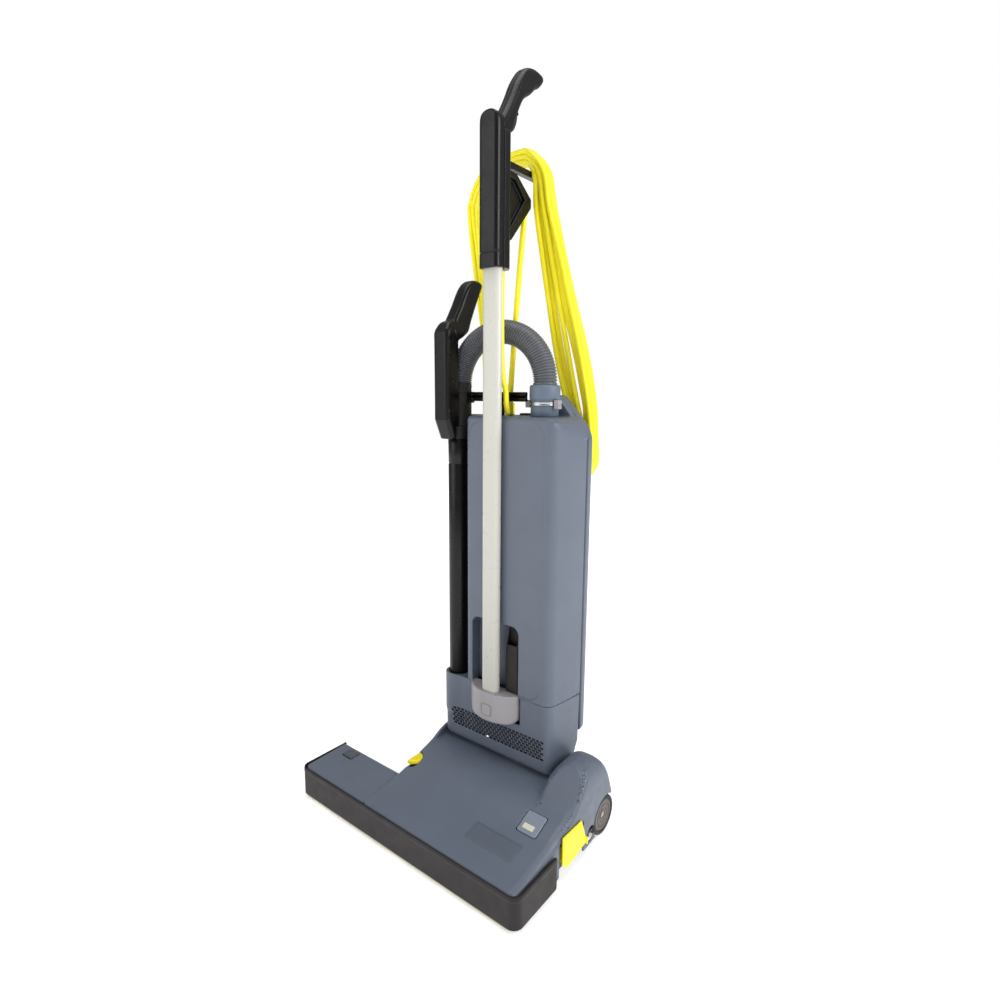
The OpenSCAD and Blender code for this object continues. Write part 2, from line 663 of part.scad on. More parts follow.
// Turning hook for the cord loops; its shaft is held in the stem's rear half.
module upper_hook() {
    color(black) {
        cyl_y(0, hook_z, stem_back_y - 3.9, stem_back_y + 8, hook_shaft_r);
        slab_x([[stem_back_y + 6, hook_z - 5], [45, hook_z - 5], [50, hook_z], [50, hook_z + 33],
                [44, hook_z + 33], [44, hook_z + 5], [stem_back_y + 6, hook_z + 5]], -6, 6);
    }
}
module cord_bracket() {
    color("#3a3837") difference() {
        slab_x([[stem_back_y + 0.1, 1046], [-18, 1044], [20, 1016], [20, 1003], [-30, 947],
                [stem_back_y + 0.1, 940]], -8, 8);
        slab_x([[stem_back_y + 6, 1036], [-20, 1034], [4, 1012], [-32, 966], [stem_back_y + 6, 960]], -9, 9);
        cyl_z(0, 12, 980, 1030, cord_r + 0.2);
    }
}
// Bar that steadies the tube, the wand and the hose.
module hose_bracket() {
    color(black) difference() {
        union() {
            block([wand_x, -30, 703], [38, -24, 718]);
            block([-22, -57.8, 703], [7, -24, 718]);
            block([-24, -30, body_top + 0.2], [-10, -20, 718]);
            ring_z(wand_x, coupling_y, 700, 718, 25, 20.4);
        }
        block([wand_x - 40, -80, 690], [wand_x + 40, coupling_y - 4, 730]);
        cyl_z(wand_x, coupling_y, 690, 730, 20.4);
        cyl_z(cuff_x, cuff_y, 690, 730, cuff_r + 2.2);
    }
}
module hose_cuff() {
    color("#5a6978") difference() {
        cyl_z(cuff_x, cuff_y, cuff_z0, cuff_z1, cuff_r);
        cyl_z(cuff_x, cuff_y, cuff_z0 - 1, cuff_z1 + 1, 16);
    }
}
module hose_clamp() {
    color(steel) {
        ring_z(cuff_x, cuff_y, 697, 703, cuff_r + 1.5, cuff_r);
        block([cuff_x + cuff_r + 0.5, cuff_y - 10, 692], [cuff_x + cuff_r + 9, cuff_y + 1, 706]);
        block([cuff_x - cuff_r - 9, cuff_y - 9, 694], [cuff_x - cuff_r - 0.5, cuff_y - 2, 706]);
    }
}
module hose() {
    color("#4a4d52") translate([wand_x, hose_y0, hose_z]) rotate([0, 0, hose_turn])
        translate([norm([cuff_x - wand_x, cuff_y - hose_y0]) / 2, 0, 0]) rotate([90, 0, 0])
            rotate_extrude(angle = 180) translate([hose_bend, 0]) difference() {
                circle(r = hose_r);
                circle(r = hose_r - 3);
            }
}
module crevice_tool() {
    color(brown_black) slab_x([[-54, 224], [-38, 224], [-38, 330], [-44, 334], [-54, 300]], 21, 46);
}
module filter_bag() {
    color("#cbb994") difference() {
        slab_z(rrect(-50, -27, 104, 38, [12, 12, 12, 12]), 245, 640);
        slab_z(rrect(-48, -25, 102, 36, [10, 10, 10, 10]), 247, 638);
        cyl_z(cuff_x, cuff_y, 630, 650, 12);
    }
}
module bag_collar() {
    color(black) ring_z(cuff_x, cuff_y, 640.2, body_top - wall, 24, 16);
}

// ---- bag door ----
function door_plan(t) = concat([[side_flare - t, door_y + 0.5]],
    arc(side_flare - 16, door_back - 16, 15 - t, 0, 90), arc(-side_flare + 16, door_back - 16, 15 - t, 90, 180),
    [[-side_flare + t, door_y + 0.5]]);
function door_face(t) = concat(
    arc(-side_flare + 12, door_z0 + 12, 12 - t, 180, 270), arc(side_flare - 12, door_z0 + 12, 12 - t, 270, 360),
    [[side_flare - t, 646 - t], [105, 671 - t], [58 - t / 2, 717 - 1.4 * t], [46 + t / 2, body_top - t]],
    arc(-side_flare + 24, body_top - 24, 24 - t, 90, 180));
module rear_cover() {
    color(slate) difference() {
        union() {
            difference() {
                intersection() { slab_z(door_plan(0), door_z0, 720); slab_y(door_face(0), 0, 100); }
                intersection() {
                    slab_z(door_plan(wall), door_z0, 720);
                    slab_y(door_face(wall), 0, door_back - wall);
                }
            }
            // hinge lugs and lower cord hook
            for (s = [0, 1]) mirror([s, 0, 0]) {
                slab_x(concat(arc(hinge_y, hinge_z, 4.5, 180, 360, 8), [[40.5, 148], [31.5, 148]]), 66, 81.5);
            }
            slab_x([[door_back - 1, 640], [80, 622], [lower_hook_back, 606], [lower_hook_back, 566],
                    [100, 566], [100, 591], [80, 600], [door_back - 1, 600]], -14, 14);
            // clip that parks the mains plug
            ring_z(plug_x, plug_y, 632, 642, plug_r + 3, plug_r + 0.1);
        }
        for (s = [0, 1]) mirror([s, 0, 0]) cyl_x(hinge_y, hinge_z, 60, 90, 2.55);
        block([plug_x - 12, plug_y + 8, 630], [plug_x + 12, plug_y + 30, 644]);
        // slot for the door latch
        block([-16, 20, body_top - 12], [16, 41, body_top + 2]);
    }
}
module door_hardware() {
    color(steel) for (s = [0, 1]) mirror([s, 0, 0]) cyl_x(hinge_y, hinge_z, 65, 96, 2.5);
}
module door_latch() {
    color(black) {
        block([-15.5, 27, body_top - 11], [15.5, 34, body_top + 1.5]);
        block([-15.5, 27, body_top + 0.2], [15.5, 44, body_top + 3]);
    }
}

// ---- wand ----
module wand_tube() { color(black) ring_z(wand_x, wand_y, 192, 640, wand_r, wand_r - 1.5); }
module wand_coupling() {
    color(brown_black) difference() {
        union() {
            cyl_z(wand_x, coupling_y, 660, 732.8, 20);
            translate([wand_x, wand_y, 640.1]) cylinder(h = 20, r1 = wand_r, r2 = 19.5);
        }
        cyl_z(wand_x, coupling_y - 2, 639, 740, 14);
    }
}
// Side outlines of the wand's handle: its shell around the coupling and the leaning bar above it.
wand_side = [[-49, 662], [-49, 800], [-34, 809], [-19, 820], [-3, 855], [12, 884], [16, 893], [12, 901], [-4, 902],
             [-16, 897], [-27, 884], [-58, 832], [-68, 829], [-80, 815], [-80, 672], [-66, 640], [-55.8, 640],
             [-55.8, 662]];
wand_room = [[-74, 680], [-74, 812], [-65, 823], [-55, 827], [-24, 880], [-14, 892], [-4, 897], [9, 896],
             [10, 893], [6, 883], [-8, 856], [-23, 823], [-37, 812.5], [-54, 803], [-58, 680]];
module wand_handle() {
    color(black) difference() {
        slab_x(wand_side, wand_x - 17, wand_x + 17);
        slab_x(wand_room, wand_x - 13, wand_x + 13);
        cyl_z(wand_x, coupling_y, 600, 734, 20.1);
        cyl_z(wand_x, wand_y, 600, 645, wand_r + 0.1);
        translate([wand_x, wand_y, 640]) cylinder(h = 24, r1 = wand_r + 0.3, r2 = 19.9);
    }
}

// ---- cord ----
// Loop outline in its own plane: straight left side, flat top over the hook, right side that leans out.
function loop_outline(o) = concat(
    arc(-46, 1010, 72 + o, 180, 100, 10), [[-14, 1083 + o], [4, 1080 + o], [24 + o, 1052 + 0.6 * o],
    [31 + o, 1000], [48 + o, 887], [80 + o, 690], [92 + o, 630]],
    arc(60, 608, 32 + o, 0, -80, 8), arc(-78, 610, 40 + o, -100, -180, 8));
module cord_bundle() {
    color(yellow) translate([0, 26, 1100]) rotate([6.6, 0, 0]) translate([0, 0, -1100])
        difference() { slab_y(loop_outline(12), -12, 12); slab_y(loop_outline(-12), -13, 13); }
}
// The rear lead passes behind the hose's bend; the front one runs down behind the tube.
module cord_leads() {
    color(yellow) {
        bar([[0, 12, 1018], [0, 12, 988], [0, 3, 920], [-10, 5.7, 831], [-13.4, 5.7, 786.6],
             [lead_x, lead_y, 720], [lead_x, lead_y, body_top + 1]], cord_r);
        bar([[6, -51.5, 898.8], [6, -52, 860], [6.5, -52, 789], [9, -51, 740], [12.2, -48, 722], [12.2, -46, 700],
             [9, -38, body_top + 5.4]], cord_r);
    }
}
module mains_plug() {
    color(black) {
        cyl_z(plug_x, plug_y, 620, 652, plug_r);
        cyl_z(plug_x, plug_y, 650, 700, cord_r);
    }
    color(steel) for (x = [-9.5, 9.5]) cyl_z(plug_x + x, plug_y, 601, 621, 2.4);
}

module seat() { translate(seat_shift) children(); }

seat() foot_base();
seat() foot_cover();
seat() bumper();
seat() skirt_strip();
seat() sole_runners();
seat() brush_motor();
seat() motor_cradle();
seat() drive_belt();
seat() wheel_axles();
seat() pivot_pins();
seat() floor_duct();
seat() indicator_board();
seat() indicator_lens();
seat() inspection_window();
seat() name_plate();
seat() brush_bearings();
seat() foot_screws();
seat() brush_core();
seat() brush_bristles();
seat() motor_pulley();
seat() tyre_left();
seat() hub_left();
seat() tyre_right();
seat() hub_right();
seat() release_pedal();
seat() brush_latch();
seat() height_dial();
seat() lower_casing();
seat() suction_elbow();
seat() wand_dock();
seat() exhaust_filter();
seat() suction_motor();
seat() motor_gasket();
seat() impeller();
seat() motor_filter();
seat() front_housing();
seat() handle_socket();
seat() handle_tube();
seat() stem_front();
seat() stem_rear();
seat() grip_shells();
seat() power_switch();
seat() upper_hook();
seat() cord_bracket();
seat() hose_bracket();
seat() hose_cuff();
seat() hose_clamp();
seat() hose();
seat() crevice_tool();
seat() filter_bag();
seat() bag_collar();
seat() rear_cover();
seat() door_hardware();
seat() door_latch();
seat() wand_tube();
seat() wand_coupling();
seat() wand_handle();
seat() cord_bundle();
seat() cord_leads();
seat() mains_plug();
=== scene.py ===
"""Looks of a commercial upright vacuum cleaner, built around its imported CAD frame.

Every length in this script is in millimetres unless a name says otherwise. The moulded shells are written as
signed distance fields and skinned; tubes, cords and wheels are swept or turned outlines.
"""
import json
import math

import bpy
import numpy as np
from mathutils import Matrix, Vector


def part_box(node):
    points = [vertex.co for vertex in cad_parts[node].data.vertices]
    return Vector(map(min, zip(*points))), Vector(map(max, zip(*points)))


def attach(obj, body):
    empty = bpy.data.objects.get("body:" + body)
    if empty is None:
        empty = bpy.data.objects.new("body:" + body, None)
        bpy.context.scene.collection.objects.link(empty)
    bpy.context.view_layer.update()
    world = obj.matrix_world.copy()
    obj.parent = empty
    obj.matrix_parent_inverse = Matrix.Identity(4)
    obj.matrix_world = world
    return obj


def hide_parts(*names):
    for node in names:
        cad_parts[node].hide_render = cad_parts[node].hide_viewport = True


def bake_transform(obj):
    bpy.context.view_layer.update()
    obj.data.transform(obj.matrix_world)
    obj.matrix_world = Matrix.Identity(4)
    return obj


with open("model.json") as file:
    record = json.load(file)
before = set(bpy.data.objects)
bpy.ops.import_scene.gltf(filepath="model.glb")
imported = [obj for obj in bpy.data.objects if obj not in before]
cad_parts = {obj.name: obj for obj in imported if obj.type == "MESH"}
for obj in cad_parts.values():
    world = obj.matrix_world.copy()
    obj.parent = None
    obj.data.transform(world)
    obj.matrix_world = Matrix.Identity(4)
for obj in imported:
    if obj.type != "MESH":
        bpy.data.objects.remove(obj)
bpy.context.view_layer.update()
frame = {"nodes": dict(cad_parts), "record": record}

MM = 0.001
COARSE = 1.0


# ---------------------------------------------------------------- places taken from the frame
# All shapes are measured from the handle tube's centre plane and a line 3 mm in front of the wheel axle.
DATUM = np.array([sum(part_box("handle_tube")[k][0] for k in (0, 1)) / 2,
                  sum(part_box("tyre_right")[k][1] for k in (0, 1)) / 2 - 3 * MM, 0.0]) / MM


def corners(node):
    """Low and high corner of a CAD node in millimetres from the datum."""
    lo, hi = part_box(node)
    return np.array(lo) / MM - DATUM, np.array(hi) / MM - DATUM


def middle(node):
    lo, hi = corners(node)
    return (lo + hi) / 2


HEAD_LO, HEAD_HI = corners("bumper")
COVER_LO, COVER_HI = corners("foot_cover")
CASING_LO, CASING_HI = corners("lower_casing")
HOUSING_LO, HOUSING_HI = corners("front_housing")
DOOR_LO, DOOR_HI = corners("rear_cover")
STEM_LO, STEM_HI = corners("stem_front")
GRIP_LO, GRIP_HI = corners("grip_shells")
HOOK_LO, HOOK_HI = corners("upper_hook")
PLUG_LO, PLUG_HI = corners("mains_plug")
FRONT_Y = HOUSING_LO[1]
DOOR_Y = HOUSING_HI[1]
SEAM_Z = HOUSING_LO[2]
BODY_TOP = corners("door_latch")[1][2] - 3
FLARE = CASING_HI[0]
HALF_W = FLARE - 11
CASING_Z0 = 96
CHANNEL_X, CHANNEL_Y = -63, -11
WAND_X, WAND_Y = middle("wand_tube")[0:2]
WAND_R = (corners("wand_tube")[1] - corners("wand_tube")[0])[0] / 2
COUPLING_Y = WAND_Y + 4
CUFF_X, CUFF_Y = middle("hose_cuff")[0:2]
CUFF_LO, CUFF_HI = corners("hose_cuff")
AXLE_Y, AXLE_Z = middle("tyre_right")[1:3]
WHEEL_R = (corners("tyre_right")[1] - corners("tyre_right")[0])[2] / 2
TUBE_LO, TUBE_HI = corners("handle_tube")
TUBE_Y = (TUBE_LO[1] + TUBE_HI[1]) / 2
HINGE_Y, HINGE_Z = middle("door_hardware")[1:3]
PIVOT_Y, PIVOT_Z = -8, 72
HEAD_REAR = COVER_HI[1]


# ---------------------------------------------------------------- distance fields
def round_and(a, b, r):
    """Where both solids are, with an edge radius of r."""
    corner = np.hypot(np.maximum(a + r, 0), np.maximum(b + r, 0))
    return np.minimum(np.maximum(a, b), -r) + corner


def round_or(a, b, r):
    """Either solid, with a fillet of radius r between them."""
    fillet = np.hypot(np.maximum(r - a, 0), np.maximum(r - b, 0))
    return np.maximum(np.minimum(a, b), r) - fillet


def cut(a, b, r=1.0):
    """Solid a without solid b, with an edge radius of r."""
    return round_and(a, -b, r)


def between(v, lo, hi):
    return np.abs(v - (lo + hi) / 2) - (hi - lo) / 2


def inset(points, r):
    """A convex outline moved inwards by r."""
    n = len(points)
    area = sum(points[i - 1][0] * points[i][1] - points[i][0] * points[i - 1][1] for i in range(n))
    side = 1 if area > 0 else -1
    lines = []
    for i in range(n):
        (ax, ay), (bx, by) = points[i], points[(i + 1) % n]
        length = math.hypot(bx - ax, by - ay)
        nx, ny = -(by - ay) / length * side, (bx - ax) / length * side
        lines.append((nx, ny, nx * ax + ny * ay + r))
    moved = []
    for i in range(n):
        (a1, b1, c1), (a2, b2, c2) = lines[i - 1], lines[i]
        det = a1 * b2 - a2 * b1
        moved.append(((c1 * b2 - c2 * b1) / det, (a1 * c2 - a2 * c1) / det))
    return moved


def outline(u, v, points):
    """Signed distance in a plane to a closed outline."""
    first = points[0]
    d = (u - first[0]) ** 2 + (v - first[1]) ** 2
    sign = np.ones_like(d)
    for i in range(len(points)):
        (ax, ay), (bx, by) = points[i], points[i - 1]
        ex, ey = bx - ax, by - ay
        wx, wy = u - ax, v - ay
        t = np.clip((wx * ex + wy * ey) / max(ex * ex + ey * ey, 1e-9), 0, 1)
        d = np.minimum(d, (wx - ex * t) ** 2 + (wy - ey * t) ** 2)
        above, below, left = v >= ay, v < by, ex * wy > ey * wx
        sign = np.where((above & below & left) | ~(above | below | left), -sign, sign)
    return sign * np.sqrt(d)


def soft_outline(u, v, points, r):
    """A convex outline with every corner rounded by r."""
    return outline(u, v, inset(points, r)) - r


def soft_box(x, y, z, lo, hi, r):
    q = [np.abs(w - (a + b) / 2) - (b - a) / 2 + r for w, a, b in zip((x, y, z), lo, hi)]
    outer = np.sqrt(np.maximum(q[0], 0) ** 2 + np.maximum(q[1], 0) ** 2 + np.maximum(q[2], 0) ** 2)
    return outer + np.minimum(np.maximum(np.maximum(q[0], q[1]), q[2]), 0) - r


def ease(v, lo, hi):
    """Smooth step from 0 at lo to 1 at hi."""
    t = np.clip((v - lo) / (hi - lo), 0, 1)
    return t * t * (3 - 2 * t)


def arc(cx, cy, r, a0, a1, n=8):
    steps = [math.radians(a0 + (a1 - a0) * i / n) for i in range(n + 1)]
    return [(cx + r * math.cos(a), cy + r * math.sin(a)) for a in steps]


# ---------------------------------------------------------------- skinning and mesh tools
def new_piece(name, verts, faces, body, slot_name, replaced=(), smooth=True, normals=None):
    """Makes a mesh object from points in millimetres and hangs it on a CAD body."""
    mesh = bpy.data.meshes.new(name)
    mesh.from_pydata(((np.asarray(verts, dtype=float) + DATUM) * MM).tolist(), [], [list(f) for f in faces])
    mesh.validate()
    if smooth:
        mesh.shade_smooth()
    if normals is not None and len(mesh.vertices) == len(normals):
        mesh.normals_split_custom_set_from_vertices(normals.tolist())
    obj = bpy.data.objects.new(name, mesh)
    bpy.context.scene.collection.objects.link(obj)
    obj.data.materials.append(MATERIALS[slot_name])
    if body:
        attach(obj, body)
    if replaced:
        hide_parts(*replaced)
    return obj


EDGES = [(a, b) for a in range(8) for b in range(8) if a < b and bin(a ^ b).count("1") == 1]
CORNERS = np.array([[c >> 2 & 1, c >> 1 & 1, c & 1] for c in range(8)])


def skin(field, lo, hi, step):
    """Surface net of a distance field: points, quads and exact normals."""
    step = step * COARSE
    axes = [np.arange(a - 2 * step, b + 3 * step, step) for a, b in zip(lo, hi)]
    shape = tuple(len(a) for a in axes)
    values = np.broadcast_to(field(*np.ix_(*axes)), shape).astype(np.float32)
    inside = values < 0
    parts = [inside[c[0]:shape[0] - 1 + c[0], c[1]:shape[1] - 1 + c[1], c[2]:shape[2] - 1 + c[2]]
             for c in CORNERS]
    count = sum(p.astype(np.int8) for p in parts)
    mixed = (count > 0) & (count < 8)
    cells = np.argwhere(mixed)
    index = np.full(mixed.shape, -1, dtype=np.int64)
    index[mixed] = np.arange(len(cells))
    total, hits = np.zeros((len(cells), 3)), np.zeros(len(cells))
    at_corner = [values[tuple((cells + c).T)] for c in CORNERS]
    for a, b in EDGES:
        va, vb = at_corner[a], at_corner[b]
        crossing = (va < 0) != (vb < 0)
        t = np.where(crossing, va / np.where(crossing, va - vb, 1), 0)
        point = CORNERS[a] + (CORNERS[b] - CORNERS[a]) * t[:, None]
        total += point * crossing[:, None]
        hits += crossing
    origin = np.array([a[0] for a in axes])
    points = origin + (cells + total / hits[:, None]) * step
    for _ in range(2):
        value, slope = slope_of(field, points)
        size = np.maximum((slope ** 2).sum(1), 0.05)
        points -= np.clip(value / size, -step, step)[:, None] * slope
    slope = (slope_of(field, points)[1] + slope_of(field, points, -0.05)[1]) / 2
    normals = slope / np.maximum(np.linalg.norm(slope, axis=1), 1e-9)[:, None]
    quads = []
    for axis in range(3):
        u, v = (axis + 1) % 3, (axis + 2) % 3
        lower = np.take(inside, range(shape[axis] - 1), axis)
        upper = np.take(inside, range(1, shape[axis]), axis)
        for start, flip in ((lower & ~upper, False), (~lower & upper, True)):
            edge = np.argwhere(start)
            edge = edge[(edge[:, u] > 0) & (edge[:, v] > 0)]
            edge = edge[(edge[:, u] < shape[u] - 1) & (edge[:, v] < shape[v] - 1)]
            back_u, back_v = np.eye(3, dtype=int)[u], np.eye(3, dtype=int)[v]
            ring = [edge - back_u - back_v, edge - back_v, edge, edge - back_u]
            quad = np.stack([index[tuple(r.T)] for r in ring], axis=1)
            quads.append(quad[:, ::-1] if flip else quad)
    return points, np.concatenate(quads), normals


def slope_of(field, p, h=0.05):
    """Value and gradient of a field at a list of points."""
    value = field(p[:, 0], p[:, 1], p[:, 2])
    slope = np.empty_like(p)
    for i in range(3):
        step = np.zeros(3)
        step[i] = h
        hi = p + step
        slope[:, i] = (field(hi[:, 0], hi[:, 1], hi[:, 2]) - value) / h
    return value, slope


def moulded(name, field, lo, hi, step, body, slot_name, replaced=()):
    """A moulded piece skinned from its distance field."""
    points, quads, normals = skin(field, lo, hi, step)
    return new_piece(name, points, quads, body, slot_name, replaced, True, normals)


def smooth_path(points, samples, closed=False):
    """Catmull-Rom curve through points, evenly spaced along its length."""
    p = np.array(points, dtype=float)
    if closed:
        p = np.vstack([p[-1], p, p[0], p[1]])
    else:
        p = np.vstack([2 * p[0] - p[1], p, 2 * p[-1] - p[-2]])
    t = np.linspace(0, 1, 24, endpoint=False)[:, None]
    dense = []
    for a, b, c, d in zip(p[:-3], p[1:-2], p[2:-1], p[3:]):
        dense.append(0.5 * (2 * b + (c - a) * t + (2 * a - 5 * b + 4 * c - d) * t ** 2
                            + (3 * b - a - 3 * c + d) * t ** 3))
    dense = np.vstack(dense + ([] if closed else [p[-2:-1]]))
    if closed:
        dense = np.vstack([dense, dense[:1]])
    length = np.concatenate([[0], np.cumsum(np.linalg.norm(np.diff(dense, axis=0), axis=1))])
    at = np.linspace(0, length[-1], samples + (1 if closed else 0))
    even = np.stack([np.interp(at, length, dense[:, i]) for i in range(3)], axis=1)
    return even[:-1] if closed else even


def sweep(path, section, closed=False, capped=True):
    """Carries a cross-section, a function of position along the path, down a path."""
    path = np.asarray(path, dtype=float)
    n = len(path)
    if closed:
        tangent = np.roll(path, -1, axis=0) - np.roll(path, 1, axis=0)
    else:
        tangent = np.gradient(path, axis=0)
    tangent /= np.linalg.norm(tangent, axis=1)[:, None]
    side = np.zeros_like(path)
    start = np.array([1.0, 0, 0]) if abs(tangent[0][0]) < 0.8 else np.array([0, 1.0, 0])
    side[0] = start - tangent[0] * start.dot(tangent[0])
    side[0] /= np.linalg.norm(side[0])
    for i in range(1, n):
        s = side[i - 1] - tangent[i] * side[i - 1].dot(tangent[i])
        side[i] = s / np.linalg.norm(s)
    if closed:
        twist = side[-1] - tangent[0] * side[-1].dot(tangent[0])
        up = np.cross(tangent[0], side[0])
        angle = math.atan2(twist.dot(up), twist.dot(side[0]))
        for i in range(n):
            a = -angle * i / n
            other = np.cross(tangent[i], side[i])
            side[i] = side[i] * math.cos(a) + other * math.sin(a)
    verts = []
    for i in range(n):
        up = np.cross(tangent[i], side[i])
        ring = section(i / max(n - 1, 1))
        verts.append(path[i] + ring[:, :1] * side[i] + ring[:, 1:] * up)
    m = len(verts[0])
    faces = []
    for i in range(n if closed else n - 1):
        a, b = i * m, (i + 1) % n * m
        faces += [(a + k, a + (k + 1) % m, b + (k + 1) % m, b + k) for k in range(m)]
    if capped and not closed:
        faces += [tuple(range(m))[::-1], tuple(range((n - 1) * m, n * m))]
    return np.vstack(verts), faces


def circle(r, sides=16):
    a = np.linspace(0, 2 * math.pi, sides, endpoint=False)
    return np.stack([r * np.cos(a), r * np.sin(a)], axis=1)


def turned(profile, centre, axis, sides=64):
    """A closed profile of (radius, distance along the axis) turned about an axis through centre."""
    angles = np.linspace(0, 2 * math.pi, sides, endpoint=False)
    first, second = [(1, 2), (2, 0), (0, 1)][axis]
    verts = np.zeros((len(profile) * sides, 3)) + centre
    for k, (r, along) in enumerate(profile):
        rows = slice(k * sides, (k + 1) * sides)
        verts[rows, first] += r * np.cos(angles)
        verts[rows, second] += r * np.sin(angles)
        verts[rows, axis] += along
    n = len(profile)
    faces = []
    for k in range(n):
        a, b = k * sides, (k + 1) % n * sides
        faces += [(a + s, a + (s + 1) % sides, b + (s + 1) % sides, b + s) for s in range(sides)]
    return verts, faces


# ---------------------------------------------------------------- finishes
def linear(rgb):
    """sRGB 0..255 to linear light."""
    return tuple((c / 255 / 12.92) if c <= 10 else ((c / 255 + 0.055) / 1.055) ** 2.4 for c in rgb) + (1.0,)


def finish(name, rgb, rough, grain=900.0, depth=0.05, mottle=0.06, metallic=0.0, stretch=(1, 1, 1), clear=0.0,
           shine=0.5):
    """A moulded or painted finish: fine grain in the normal, uneven gloss and slightly uneven colour."""
    mat = bpy.data.materials.new(name)
    mat.use_nodes = True
    nodes, links = mat.node_tree.nodes, mat.node_tree.links
    shader = nodes["Principled BSDF"]
    place = nodes.new("ShaderNodeTexCoord")
    scale = nodes.new("ShaderNodeMapping")
    scale.inputs["Scale"].default_value = stretch
    links.new(place.outputs["Object"], scale.inputs["Vector"])

    def noise(size, detail):
        tex = nodes.new("ShaderNodeTexNoise")
        tex.inputs["Scale"].default_value = size
        tex.inputs["Detail"].default_value = detail
        links.new(scale.outputs["Vector"], tex.inputs["Vector"])
        return tex

    def spread(tex, lo, hi):
        ramp = nodes.new("ShaderNodeMapRange")
        ramp.inputs["From Min"].default_value = 0.3
        ramp.inputs["From Max"].default_value = 0.7
        ramp.inputs["To Min"].default_value = lo
        ramp.inputs["To Max"].default_value = hi
        links.new(tex.outputs["Fac"], ramp.inputs["Value"])
        return ramp

    tone = nodes.new("ShaderNodeMix")
    tone.data_type = "RGBA"
    dark, light = [linear([min(255, c * f) for c in rgb]) for f in (1 - mottle, 1 + mottle)]
    tone.inputs["A"].default_value = dark
    tone.inputs["B"].default_value = light
    links.new(spread(noise(14, 4), 0.2, 0.8).outputs["Result"], tone.inputs["Factor"])
    links.new(tone.outputs["Result"], shader.inputs["Base Color"])
    gloss = spread(noise(60, 5), max(rough - 0.05, 0.02), min(rough + 0.07, 1))
    links.new(gloss.outputs["Result"], shader.inputs["Roughness"])
    bump = nodes.new("ShaderNodeBump")
    bump.inputs["Strength"].default_value = depth
    bump.inputs["Distance"].default_value = 0.0006
    links.new(noise(grain, 2).outputs["Fac"], bump.inputs["Height"])
    links.new(bump.outputs["Normal"], shader.inputs["Normal"])
    shader.inputs["Metallic"].default_value = metallic
    shader.inputs["Transmission Weight"].default_value = clear
    shader.inputs["Specular IOR Level"].default_value = shine
    return mat


MATERIALS = {
    "slate_plastic": finish("slate_plastic", (91, 99, 113), 0.42, 1500, 0.10, 0.03),
    "black_plastic": finish("black_plastic", (10, 9, 10), 0.30, 1200, 0.04, 0.06, shine=0.28),
    "grip_plastic": finish("grip_plastic", (13, 12, 13), 0.32, 1800, 0.03, 0.06, shine=0.28),
    "bumper_rubber": finish("bumper_rubber", (33, 29, 28), 0.5, 1100, 0.10, 0.08, shine=0.3),
    "pale_plastic": finish("pale_plastic", (205, 200, 180), 0.5, 1200, 0.10, 0.05),
    "bare_steel": finish("bare_steel", (172, 174, 177), 0.28, 500, 0.06, 0.08, 1.0, (1, 1, 14)),
    "soft_rubber": finish("soft_rubber", (34, 33, 33), 0.72, 900, 0.25, 0.10),
    "circuit_board": finish("circuit_board", (40, 96, 62), 0.5, 400, 0.10, 0.12),
    "clear_lens": finish("clear_lens", (124, 132, 145), 0.16, 600, 0.02, 0.02),
    "window_plastic": finish("window_plastic", (78, 84, 92), 0.2, 600, 0.03, 0.04),
    "label_plate": finish("label_plate", (84, 92, 105), 0.36, 900, 0.05, 0.03),
    "brush_plastic": finish("brush_plastic", (120, 122, 126), 0.45, 900, 0.10, 0.06),
    "bristles": finish("bristles", (48, 44, 42), 0.55, 2500, 0.30, 0.18, 0, (1, 1, 0.1)),
    "tyre_rubber": finish("tyre_rubber", (32, 31, 32), 0.58, 1000, 0.22, 0.10),
    "hub_plastic": finish("hub_plastic", (92, 85, 80), 0.48, 1200, 0.12, 0.06),
    "yellow_plastic": finish("yellow_plastic", (242, 226, 24), 0.36, 1200, 0.08, 0.03),
    "filter_fleece": finish("filter_fleece", (44, 44, 46), 0.95, 700, 0.8, 0.20),
    "bag_paper": finish("bag_paper", (206, 186, 148), 0.85, 350, 0.45, 0.08),
    "socket_plastic": finish("socket_plastic", (150, 146, 150), 0.4, 1200, 0.08, 0.03),
    "tube_paint": finish("tube_paint", (198, 197, 188), 0.3, 700, 0.015, 0.01),
    "cuff_plastic": finish("cuff_plastic", (92, 106, 121), 0.44, 1200, 0.10, 0.05),
    "hose_plastic": finish("hose_plastic", (84, 87, 92), 0.36, 1200, 0.05, 0.05),
    "cord_yellow": finish("cord_yellow", (246, 234, 30), 0.42, 1600, 0.16, 0.04),
}
for part in frame["record"]["subparts"]:
    mesh = frame["nodes"][part["node"]].data
    mesh.materials.clear()
    mesh.materials.append(MATERIALS[part["material_slot"]])


# ---------------------------------------------------------------- floor head
def flat_curve(points, samples):
    """Smooth curve through points in a plane."""
    return [tuple(p[:2]) for p in smooth_path([(a, b, 0) for a, b in points], samples)]


